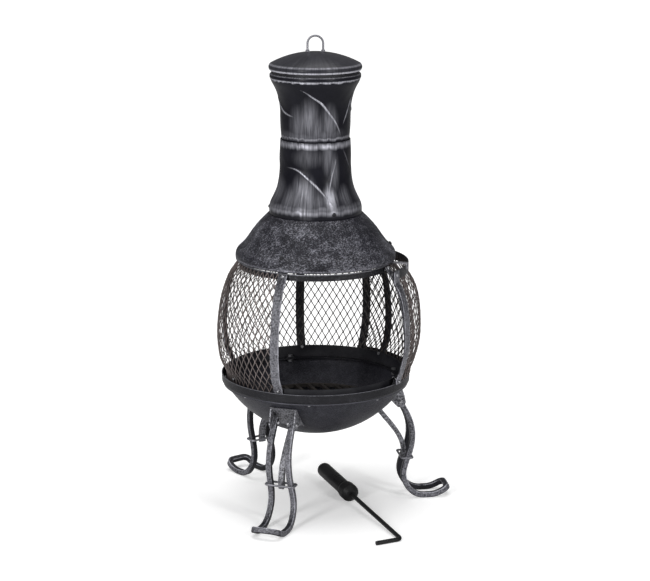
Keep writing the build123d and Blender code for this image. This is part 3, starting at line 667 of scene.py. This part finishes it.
floor.data.materials.append(pale_floor())
print("materials:", len(bpy.data.materials))

# %% [markdown]
# ## The two chimney drums
# Each drum is sheet metal spun to a waisted shape. A Screw modifier on a drawn outline would do
# for a plain one, but these carry thin raised veins like leaf ribs. Here every point of the wall
# is pushed out by its distance to the nearest vein, and the same distance tells the silver where
# to sit, so relief and paint always agree.

# %% Veins and brushed patches
VEIN_HEIGHT = 1.3  # millimetres, like every length from here on
VEIN_WIDTH = 2.1
PATCH_STRENGTH = 0.5
COLUMNS = 432  # points round a drum
SHEET = 2.5
WALL_WOBBLE = 0.22  # how far the beaten wall strays
RAGGED = 1.6  # how far a brushed band's edge strays
FRONT_AZIMUTH = -18.0  # the camera's side, where a painted sheen makes the silver strongest, and how far round that reaches
FRONT_REACH = 62.0


def turned_off(azimuth, middle):
    """How far an azimuth is from another one, from -180 to 180 degrees."""
    return np.mod(azimuth - middle + 180, 360) - 180


def vein_field(azimuth, height, radius, veins):
    """How far up a vein each spot lies, from 0 to 1.

    A vein is a smooth line in (azimuth, height). Its half width swells in the middle and runs out
    to a point at both ends, and across it the height falls off as exp(-(distance / width)^2).
    """
    total = np.zeros(azimuth.shape)
    for spots, strength in veins:
        line = smooth_line(spots, 70)
        along = np.linspace(0, 1, len(line))
        width = VEIN_WIDTH * (0.3 + 0.7 * np.sin(np.pi * along) ** 0.7)
        fades = np.sin(np.pi * np.clip(along, 0.02, 0.98)) ** 0.35
        for (middle, level), reach, fade in zip(line, width, fades):
            off = turned_off(azimuth, middle)
            distance = np.hypot(np.radians(off) * radius, height - level)
            total = np.maximum(total, strength * fade * np.exp(-(distance / reach) ** 2))
    return total


def soft_patches(azimuth, height, patches):
    """Where the brush was laid on, and where soft highlights are painted: the largest of several
    rounded bumps, each with a middle (azimuth, height), a reach in both and a strength."""
    total = np.zeros(azimuth.shape)
    for middle, level, wide, tall, strength in patches:
        bump = np.exp(-(turned_off(azimuth, middle) / wide) ** 2 - ((height - level) / tall) ** 2)
        total = np.maximum(total, PATCH_STRENGTH * strength * bump)
    return total


def spin_outline(outline, columns, push=None):
    """Spin a (radius, height) outline about Z: point (r, z) goes to r sin a, -r cos a, z at each
    azimuth a. A push, if there is one, then moves each point along the wall's own normal."""
    azimuth = np.linspace(0, 360, columns, endpoint=False)[None, :]

    def spin(pairs):
        x, y = round_axis(azimuth, pairs[:, 0, None])
        return np.stack([x, y, np.broadcast_to(pairs[:, 1, None], x.shape)], axis=-1)

    grid = spin(outline)
    return grid if push is None else grid + push[..., None] * spin(outward(outline))


def turned_copies(veins, turns):
    """The same veins again, further round the drum."""
    return [([(a + turn, h) for a, h in spots], s) for turn in turns for spots, s in veins]


# outer lines as (radius, height), top first; veins as (azimuth, height) spots and a strength
UPPER_LINE = smooth_line([(82.4, 801.5), (80.8, 797.5), (75.0, 786.6), (67.8, 766.5), (64.9, 748.0),
                          (64.2, 720.0), (62.4, 694.6)], 132)
LOWER_LINE = smooth_line([(64.2, 691.0), (65.2, 671.0), (65.4, 646.0), (67.0, 622.0), (71.5, 600.0),
                          (78.6, 583.5), (84.4, 570.0), (85.4, 561.0), (84.9, 553.0)], 168)
UPPER_VEINS = [
    ([(-42, 790), (-33, 784), (-22, 774), (-11, 765), (-3, 755), (6, 742), (15, 729), (23, 713),
      (29, 700)], 1.0),
    ([(-104, 768), (-92, 755), (-83, 747), (-71, 741), (-55, 737)], 0.95),
    ([(52, 778), (48, 760), (43, 745), (38, 735), (31, 722)], 0.9),
]
LOWER_VEINS = [
    ([(-72, 645), (-62, 644), (-51, 642), (-40, 635), (-27, 623), (-16, 611), (-8, 600),
      (4, 579)], 1.0),
    ([(17, 668), (13, 645), (9, 633), (5, 617), (2, 603), (0, 582)], 0.85),
    ([(28, 684), (40, 660), (54, 636)], 0.5),
]
UPPER_VEINS += turned_copies(UPPER_VEINS[:2], (150,)) + turned_copies(UPPER_VEINS[2:], (170,))
LOWER_VEINS += turned_copies(LOWER_VEINS[:2], (165,)) + turned_copies(LOWER_VEINS[2:], (-150,))
# brushed silver patches, partly painted soft highlights: azimuth, height, reach in both, strength
UPPER_PATCHES = [(-46, 722, 18, 32, 0.42), (-28, 730, 14, 34, 0.6), (-16, 716, 12, 26, 0.5),
                 (5, 726, 14, 30, 0.52), (-8, 706, 40, 12, 0.42), (-36, 702, 50, 10, 0.42),
                 (80, 728, 28, 34, 0.42), (124, 712, 24, 30, 0.5), (165, 730, 24, 34, 0.42),
                 (205, 714, 26, 32, 0.48), (244, 726, 22, 32, 0.4)]
LOWER_PATCHES = [(-42, 598, 14, 30, 0.58), (-30, 592, 12, 34, 0.6), (-16, 586, 12, 20, 0.4),
                 (3, 590, 8, 20, 1.4), (2, 664, 9, 30, 0.46), (12, 638, 9, 34, 0.48),
                 (-56, 588, 14, 24, 0.42), (-30, 664, 28, 18, 0.32), (28, 590, 12, 22, 0.38),
                 (75, 600, 26, 34, 0.45),
                 (112, 588, 24, 30, 0.52), (152, 655, 26, 36, 0.4), (190, 596, 28, 32, 0.5),
                 (235, 590, 24, 30, 0.46), (-90, 598, 20, 28, 0.38)]
# bright bands round the drums: brushed silver, and at 802 a painted highlight line under the lip
UPPER_BANDS = [(802.0, 1.6, 0.95), (697.5, 2.4, 0.5)]  # height, reach, strength
LOWER_BANDS = [(684.5, 5.0, 0.68), (566.0, 5.0, 0.5), (572.0, 7.0, 0.3)]
drum_azimuth = np.linspace(0, 360, COLUMNS, endpoint=False)[None, :]
# a painted sheen: bands, veins and lip are brighter on the side facing the camera and front lamps
front = np.exp(-(turned_off(drum_azimuth, FRONT_AZIMUTH) / FRONT_REACH) ** 2)
round_about = 0.55 + 0.45 * front


def drum(name, line, extra_top, extra_bottom, veins, patches, bright_bands, outline_inner):
    """A drum's closed outline is its outer line, then whatever lies below and inside it."""
    height = np.broadcast_to(line[:, 1, None], (len(line), COLUMNS))
    azimuth = np.broadcast_to(drum_azimuth, height.shape)
    radius = float(line[:, 0].mean())
    vein = vein_field(azimuth, height, radius, veins)
    wobble = WALL_WOBBLE * soft_noise(azimuth / 360 * 36, height / 12, 1.0, 5, around=36)
    pushed = VEIN_HEIGHT * vein + wobble * np.sin(np.linspace(0, np.pi, len(line)))[:, None]
    outer = spin_outline(line, COLUMNS, pushed)
    silver_and_highlight = soft_patches(azimuth, height, patches)
    for level, reach, strength in bright_bands:
        ragged = level + RAGGED * soft_noise(azimuth / 360 * 90, 0 * height, 1.0, 8, around=90)
        band_silver_and_highlight = strength * np.exp(-((height - ragged) / reach) ** 2)
        uneven = 0.9 + 0.2 * soft_noise(azimuth / 360 * 60, height / 6, 1.0, 9, around=60)
        band_silver_and_highlight *= round_about * uneven
        silver_and_highlight = np.maximum(silver_and_highlight, band_silver_and_highlight)
    silver_and_highlight = np.maximum(silver_and_highlight, 0.78 * np.clip(vein * 1.5 - 0.35, 0, 1) * (0.75 + 0.25 * front))
    top = np.array(extra_top)
    rest = spin_outline(np.concatenate([extra_bottom, outline_inner]), COLUMNS)
    rows = np.concatenate([spin_outline(top, COLUMNS), outer, rest])
    lip_height = top[:, 1]
    # painted highlights: a thin line under the lip and, weaker, one on the crest of its roll
    below_lip = np.exp(-((lip_height - 802.0) / 1.3) ** 2)
    lip_crest = np.exp(-((lip_height - 810.5) / 1.2) ** 2)
    painted_lip_highlight = (below_lip + 0.4 * lip_crest)[:, None] * (0.78 + 0.22 * front)
    marks = np.concatenate([painted_lip_highlight, silver_and_highlight, np.zeros((len(rest), COLUMNS))])
    print(name, "rows", rows.shape[0], "veins", len(veins))
    return grid_piece(name, rows, True, True, {"silver_and_highlight": marks})


def corner(middle, radius, start, end, count=5):
    """Points on an arc in (radius, height), from one angle to another in degrees."""
    turn = np.radians(np.linspace(start, end, count))
    return [(middle[0] + radius * math.cos(t), middle[1] + radius * math.sin(t)) for t in turn]


LIP_ROLL = 2.6
lip = corner((80.1, 808.4), LIP_ROLL, 180, 90)
lip += corner((80.8, 808.4), LIP_ROLL, 90, 0)
lip += corner((80.8, 804.6), LIP_ROLL, 0, -75)
spigot = [(62.4, 691.2), (61.4, 691.0), (61.3, 690.6), (61.3, 673.0), (58.8, 673.0), (58.8, 690.6),
          (59.0, 694.0)]
upper_inner = (UPPER_LINE - outward(UPPER_LINE) * SHEET)[::-6]
upper = drum("upper_drum", UPPER_LINE[1:], lip, spigot, UPPER_VEINS, UPPER_PATCHES, UPPER_BANDS,
             upper_inner[1:])
settle(upper, "stand", ["chimney_upper"], DRUM_COAT)
lower_inner = (LOWER_LINE - outward(LOWER_LINE) * SHEET)[::-7]
lower = drum("lower_drum", LOWER_LINE, [(61.9, 691.0), (63.6, 691.0)],
             [(84.3, 552.9), (82.5, 553.0)], LOWER_VEINS, LOWER_PATCHES, LOWER_BANDS,
             lower_inner[1:-1])
settle(lower, "stand", ["chimney_lower"], DRUM_COAT)

# %% [markdown]
# ## The hammered hood
# The hood is a cone of heavier sheet that flares out and turns down at its rim. It is hammered
# all over, so its outer wall gets real dents some 5.5 mm apart, and the coat adds the finer marks.
# A whole number of dents goes round, so that the pattern closes up without a seam.

# %% Hood
HOOD_WALL = 3.0
HOOD_COLUMNS = 480
DENT = 5.5
DENT_DEPTH = 0.42
RIM_LEVEL = 472.0  # the worn rim, with a painted highlight line: its height and reach
RIM_REACH = 2.0
CELLS_ROUND = 150
hood_line = smooth_line([(88.0, 552.3), (99.6, 540.8), (117.1, 520.0), (129.0, 503.0),
                         (139.0, 492.0), (146.0, 484.5), (148.0, 477.0), (147.6, 469.0)], 96)
hood_along = length_along(hood_line)[:, None]
hood_turn = np.linspace(0, 1, HOOD_COLUMNS, endpoint=False)[None, :]
hood_dent = dents(hood_turn * CELLS_ROUND * DENT, hood_along, DENT, 21, around=CELLS_ROUND)
fade = np.clip(np.minimum(hood_along, hood_along.max() - hood_along) / 6, 0, 1)
hood_push = DENT_DEPTH * (hood_dent ** 2 - 0.35) * fade
hood_inner = (hood_line - outward(hood_line) * HOOD_WALL)[::-5]
hood_neck = np.array([(79.2, 549.4), (79.2, 566.6), (79.6, 567.0), (81.3, 567.0), (81.7, 566.6),
                      (81.7, 552.6), (87.4, 552.5)])
hood_rows = np.concatenate([spin_outline(hood_line, HOOD_COLUMNS, hood_push),
                            spin_outline(np.concatenate([hood_inner, hood_neck]), HOOD_COLUMNS)])
# the worn rim with a painted highlight line along it
hood_rim_silver_and_highlight = np.exp(-((hood_line[:, 1] - RIM_LEVEL) / RIM_REACH) ** 2)[:, None] * (0.8 + 0.2 * fade)
uneven = soft_noise(hood_turn * 24, hood_along / 26, 1.0, 31, around=24)
hood_silver_and_highlight = np.clip(0.13 + 0.3 * (hood_dent - 0.5) + 0.14 * uneven, 0, 0.6)
hood_silver_and_highlight = np.maximum(hood_silver_and_highlight, 0.42 * hood_rim_silver_and_highlight * np.ones_like(hood_silver_and_highlight))
hood_marks = np.concatenate([hood_silver_and_highlight, np.zeros((len(hood_rows) - len(hood_line), HOOD_COLUMNS))])
hood_piece = grid_piece("hammered_hood", hood_rows, True, True, {"silver_and_highlight": hood_marks})
settle(hood_piece, "stand", ["hood"], HOOD_COAT)

# %% [markdown]
# ## Hammered straps and leg loops
# A strap is a flat bar beaten to the barrel's curve, and a leg is a bar bent into a long hairpin
# and then to an S. Both are a rounded oblong section carried along a path. The path is drawn flat,
# as if the bar lay unbent on the bench, and each point is then wrapped on to the side view. The
# edges wander by a fraction of a millimetre and the faces carry dents, as beaten steel does.

# %% Bars carried along a path
def bar_section(width, thick, across=14, through=5, rounding=0.9):
    """A closed oblong (q, v) with rounded corners, and how near each point is to a corner edge.

    q runs across the bar and v through it. Each point of a plain oblong is pulled in towards the
    corner's arc wherever it lies within the rounding of two sides.
    """
    a, b = width / 2, thick / 2
    top = np.linspace(-a, a, across)
    side = np.linspace(-b, b, through)
    q = np.concatenate([top[:-1], np.full(through - 1, a), -top[:-1], np.full(through - 1, -a)])
    v = np.concatenate([np.full(across - 1, b), -side[:-1], np.full(across - 1, -b), side[:-1]])
    iq = np.clip(q, -a + rounding, a - rounding)
    iv = np.clip(v, -b + rounding, b - rounding)
    dq, dv = q - iq, v - iv
    reach = np.hypot(dq, dv)
    pull = np.where(reach > rounding, rounding / np.maximum(reach, 1e-9), 1.0)
    near_edge = np.clip(1.35 - (a - np.abs(q)) / 1.6, 0, 1)
    near_edge *= np.clip(1.5 - (b - np.abs(v)) / 1.2, 0, 1)
    return iq + dq * pull, iv + dv * pull, near_edge


def lifted(side, s, lift):
    """Radius and height at distance s along a side view, moved along its normal by lift."""
    arc, normal = length_along(side), outward(side)
    return [np.interp(s, arc, side[:, k]) + lift * np.interp(s, arc, normal[:, k]) for k in (0, 1)]


def carried_bar(name, side, plan, section, azimuth, centre, seed, dent=4.2, depth=0.16, wander=0.14,
                inner_side=0.3):
    """A bar whose flat plan is wrapped on to a side view, as a closed tube.

    At each step of the plan (s, y) the section's q moves a point across the plan, to s + q ns and
    y + q ny. The side view then gives its radius and height at s, moved along the side view's
    normal by v + centre, and y moves it sideways. Last, it is turned to its azimuth. Dents sink
    the skin by depth x (1 - nearest dent's distance^2), and slow noise makes the width wander.
    The silver_and_highlight mark is strongest on the outward face (v > 0), on the outer flank (q >
    0) and at the edges beside them, which are worn and carry a painted highlight; it is weaker
       where the
    face looks up, and inner_side is its share on the inner flank.
    """
    q, v, near_edge = section
    most_q, most_v = np.abs(q).max(), np.abs(v).max()
    step = np.gradient(plan, axis=0)
    step /= np.linalg.norm(step, axis=1)[:, None]
    run = length_along(plan)[:, None]
    girth = np.r_[0, np.cumsum(np.hypot(np.diff(q), np.diff(v)))]
    sway = soft_noise(run, np.where(q > 0, 40.0, 90.0), 7.0, seed)
    slow = 1 + wander * sway / most_q
    pit = dents(run + 300, girth + 60, dent, seed + 1) ** 2
    q_here = q * slow
    skin_q = np.sign(q) * np.where(np.abs(q) > most_q - 1.0, 1, 0)
    sink = depth * np.clip(1 - pit, 0, 1)
    v_here = v - np.sign(v) * sink * (np.abs(v) > most_v * 0.7)
    q_here = q_here - skin_q * sink
    s = plan[:, 0, None] - step[:, 1, None] * q_here
    y = plan[:, 1, None] + step[:, 0, None] * q_here
    radius, height = lifted(side, s, v_here + centre)
    turn = math.radians(azimuth)
    turned_x = radius * math.sin(turn) + y * math.cos(turn)
    turned_y = -radius * math.cos(turn) + y * math.sin(turn)
    facing_up = np.clip(np.interp(s, length_along(side), outward(side)[:, 1]), 0, 1)
    out_face = np.clip(v / most_v * 3 - 2, 0, 1) * (1 - 0.65 * facing_up)
    flank = np.clip(np.abs(q) / most_q * 6 - 5, 0, 1) * np.where(q > 0, 0.85, inner_side)
    face = np.maximum(out_face, flank)
    silver_and_highlight = face * (0.36 + 0.16 * (pit - 0.4)) + 0.02
    # worn silver along the outer edges, with a painted highlight along them
    rub = 0.85 + 0.4 * soft_noise(run, q * 2, 5.0, seed + 2)
    worn = np.where(q > 0, 0.85, 0.6) * (v > 0)
    silver_and_highlight = np.maximum(silver_and_highlight, near_edge * np.clip(rub, 0, 1) * worn)
    grid = np.stack([turned_x, turned_y, height], axis=-1)
    return grid_piece(name, grid, False, True, {"silver_and_highlight": silver_and_highlight})


STRAP_WIDTH = 17.0
STRAP_THICK = 3.0
# side views of the barrel and of the door as (radius, height) spots, top first
cage_points = np.array([(143.9, 464.8), (149.0, 456.0), (156.8, 446.0), (167.2, 425.0),
                        (175.6, 398.5), (181.2, 366.0), (184.1, 324.0), (182.0, 297.0),
                        (176.2, 273.5), (168.0, 257.5), (166.8, 250.0), (166.6, 240.0)])
door_points = np.array([(169.6, 457.0), (169.7, 452.0), (170.3, 446.0), (174.4, 439.0),
                        (179.7, 431.0), (184.9, 421.0), (193.6, 387.0), (196.1, 352.0),
                        (193.8, 311.0), (188.9, 291.0), (182.4, 271.5), (178.3, 260.5),
                        (177.8, 252.8)])


def moved_points(points, gap):
    """A profile's own points moved out along the normals of the smooth line through them."""
    line = smooth_line(points, 1200)
    normal = outward(line)
    nearest = np.argmin(np.linalg.norm(line[:, None] - points[None], axis=2), axis=0)
    return points + normal[nearest] * gap


strap_side = smooth_line(np.concatenate([[(147.4, 465.2)], moved_points(cage_points, 3.3)[1:-1],
                                         [(169.9, 240.4)]]), 400)
door_strap_side = smooth_line(np.concatenate([[(176.0, 462.8), (176.2, 449.0)],
                                              moved_points(door_points, 3.5)[3:-1],
                                              [(181.6, 252.8)]]), 400)
strap_section = bar_section(STRAP_WIDTH, STRAP_THICK, across=14, through=4, rounding=0.8)
straps = [("strap_front_left", -42.0), ("strap_front_right", 44.5), ("strap_rear_right", 112.5),
          ("strap_rear", 171.0), ("strap_rear_left", 229.5), ("door_strap_leading", 38.5),
          ("door_strap_trailing", 131.5)]
for number, (node, azimuth) in enumerate(straps):
    on_door = node.startswith("door")
    side = door_strap_side if on_door else strap_side
    run = np.linspace(0, length_along(side)[-1], 190)
    plan = np.stack([run, np.zeros_like(run)], axis=1)
    strap = carried_bar("hammered_" + node, side, plan, strap_section, azimuth, -STRAP_THICK / 2,
                        40 + number)
    settle(strap, "door" if on_door else "stand", [node], BAND_COAT)

# %% Leg loops
LEG_WIDTH = 10.0  # across the bar, in the hairpin's own plane
LEG_THICK = 10.5
LEG_AZIMUTHS = (-40.1, 79.9, 199.9)
TIP_BEND = 12.0  # radius of the hairpin's two corners at the foot
knee = smooth_line([(151.5, 200.0), (167.5, 173.0), (180.0, 142.0), (182.0, 120.0), (178.0, 95.0),
                    (169.5, 70.5), (165.0, 45.0), (170.0, 28.0), (183.0, 12.5), (195.0, 6.6),
                    (204.0, 5.25), (211.0, 5.25), (218.0, 5.25), (227.0, 6.7), (238.0, 11.0),
                    (247.0, 15.6), (255.0, 19.5)], 700)
knee_length = length_along(knee)
end = knee_length[-1] - LEG_WIDTH / 2
rail = np.linspace(0.5, end - TIP_BEND, 250)
rail_height = np.interp(rail, knee_length, knee[:, 1])
half = np.interp(rail_height, [10.0, 80.0, 210.0], [24.0, 19.8, 17.0])   # half the hairpin's gap
bend_turn = np.radians(np.linspace(0, 90, 12)[1:])
bend = np.stack([end - TIP_BEND + TIP_BEND * np.sin(bend_turn),
                 half[-1] - TIP_BEND + TIP_BEND * np.cos(bend_turn)], axis=1)
cross = np.stack([np.full(12, end), np.linspace(half[-1] - TIP_BEND, 0, 14)[1:-1]], axis=1)
one_side = np.concatenate([np.stack([rail, half], axis=1), bend, cross])
hairpin = np.concatenate([one_side, [(end, 0.0)], one_side[::-1] * (1, -1)])
leg_section = bar_section(LEG_WIDTH, LEG_THICK, across=10, through=10, rounding=1.6)
for number, azimuth in enumerate(LEG_AZIMUTHS):
    leg = carried_bar(f"hammered_leg_{number + 1}", knee, hairpin, leg_section, azimuth, 0.0,
                      60 + number, dent=5.0, depth=0.14, wander=0.1, inner_side=0.05)
    settle(leg, "stand", [f"leg_loop_{number + 1}"], BAND_COAT)

# %% [markdown]
# ## Expanded mesh
# Expanded mesh is one sheet, slit in rows and pulled open, so its holes are diamonds and its
# strands touch without a weave. Each upright strand is a zigzag: it swings to the right until it
# meets its neighbour, then to the left to meet the other one. A wireframe of a bent plane would
# give strands of the wrong section, so each strand is a six-sided tube laid on the barrel's curve,
# standing out a little where it swings one way and in where it swings the other.

# %% Mesh panels
CELL_WIDTH_DEG = 4.4
CELL_HEIGHT = 23.8
STRAND_HALF = 0.85  # half a strand's width
STRAND_DEPTH = 0.65  # half its thickness
STRAND_SWING_OUT = 0.3  # how far it stands out or in at each swing
OVERLAP = 0.72  # share of that half width that two strands have between them
BOND = 0.045  # half the length of a joint between strands, in cells


def expanded_panel(name, body, stands_for, points, start, sweep, surface_gap=1.0):
    """Strands side by side, each a zigzag that touches its neighbours by turns.

    Strand k has its middle at azimuth start + (k + 1/2) half cells. At length s it is off by
    w(s / cell height + k / 2) x (quarter cell - what two strands overlap), where w is a triangle
    wave with its peaks cut flat. Its section is a flat hexagon, carried square to its path.
    """
    line = smooth_line(points, 900)
    line_length = length_along(line)
    cells = max(1, round(sweep / CELL_WIDTH_DEG))
    cell = sweep / cells
    strands = 2 * cells
    periods = line_length[-1] / CELL_HEIGHT
    phases = np.array([BOND, 0.25, 0.5 - BOND, 0.5 + BOND, 0.75, 1 - BOND])
    steps = np.concatenate([whole + phases for whole in range(int(periods) + 1)])
    steps = np.r_[0, steps[(steps > 0.02) & (steps < periods - 0.02)], periods]
    k = np.arange(strands)[:, None]
    where = steps[None, :] + 0.5 * (k % 2)
    triangle = 4 * np.abs(where - np.floor(where + 0.5)) - 1
    wave = np.clip(triangle / (1 - 4 * BOND), -1, 1)
    s = np.broadcast_to(steps[None, :] * CELL_HEIGHT, wave.shape)
    radius = np.interp(s, line_length, line[:, 0])
    quarter = np.radians(cell / 4) * radius
    side = wave * (quarter - STRAND_HALF * OVERLAP)
    middle = np.radians(start + (k + 0.5) * cell / 2) * np.ones_like(side)
    along_a = np.gradient(side, axis=1)
    along_s = np.gradient(s, axis=1)
    size = np.hypot(along_a, along_s)
    across_a, across_s = along_s / size, -along_a / size
    six = np.array([(-1, 0.55), (0, 1), (1, 0.55), (1, -0.55), (0, -1), (-1, -0.55)])
    q = six[:, 0] * STRAND_HALF
    v = six[:, 1] * STRAND_DEPTH
    s_here = np.clip(s[..., None] + across_s[..., None] * q, 0, line_length[-1])
    a_here = middle[..., None] + (side[..., None] + across_a[..., None] * q) / radius[..., None]
    depth = v + STRAND_SWING_OUT * wave[..., None] - surface_gap
    r_here, z_here = lifted(line, s_here, depth)
    grid = np.stack([r_here * np.sin(a_here), -r_here * np.cos(a_here), z_here], axis=-1)
    # a painted highlight on each strand's outer faces, more where it swings out
    silver_and_highlight = np.clip(six[:, 1], 0, 1) * np.clip(0.65 + 0.35 * wave[..., None], 0, 1)
    piece = grid_piece(name, grid, False, True, {"silver_and_highlight": silver_and_highlight}, smooth=False)
    print(f"{name}: {strands} strands, cell {cell:.2f} degrees by {CELL_HEIGHT} mm")
    settle(piece, body, [stands_for], MESH_COAT)


for part, start, sweep in (("right", 44.5, 68.0), ("rear_right", 112.5, 58.5),
                           ("rear_left", 171.0, 58.5), ("left", 229.5, 88.5)):
    expanded_panel("expanded_mesh_" + part, "stand", "mesh_" + part, cage_points, start, sweep)
expanded_panel("expanded_mesh_door", "door", "door_mesh", door_points, 38.5, 93.0)

# %% [markdown]
# ## Finishing the CAD pieces
# The cap, rings, tray, bowl, grate, brackets, clamps, poker and every fastener have the right
# shape already, so they only get their coats, put in the material slots that they came with.

# %% Coats for the CAD pieces
COATS = {
    CAP_COAT: ["cap_dome"],
    SHEET_COAT: ["chimney_screws", "hood_bolts", "cap_collar", "hood_bracket_1", "hood_bracket_2",
                 "hood_bracket_3", "cage_bottom_ring", "door_bottom_rail"],
    PLATE_COAT: ["door_tongue_1", "door_tongue_2"]
    + [f"{kind}_{n}" for kind in ("leg_stay", "leg_bracket") for n in (1, 2, 3)],
    RING_COAT: ["cage_top_ring", "door_top_band"],
    TRAY_COAT: ["base_ring"],
    BOWL_COAT: ["fire_bowl"],
    GRATE_COAT: ["fire_grate"],
    FASTENER_COAT: ["bracket_rivets", "cage_rivets", "cage_bolts", "bowl_rivets", "door_rivets",
                    "leg_bolts"],
    WORN_COAT: ["cap_loop", "cap_loop_nuts", "leg_clamp_1", "leg_clamp_2", "leg_clamp_3"],
    POKER_COAT: ["poker_rod", "poker_guard"],
    GRIP_COAT: ["poker_grip"],
}
for coat, names in COATS.items():
    for name in names:
        for holder in nodes[name].material_slots:
            holder.material = coat
print("coated CAD pieces:", sum(len(names) for names in COATS.values()))
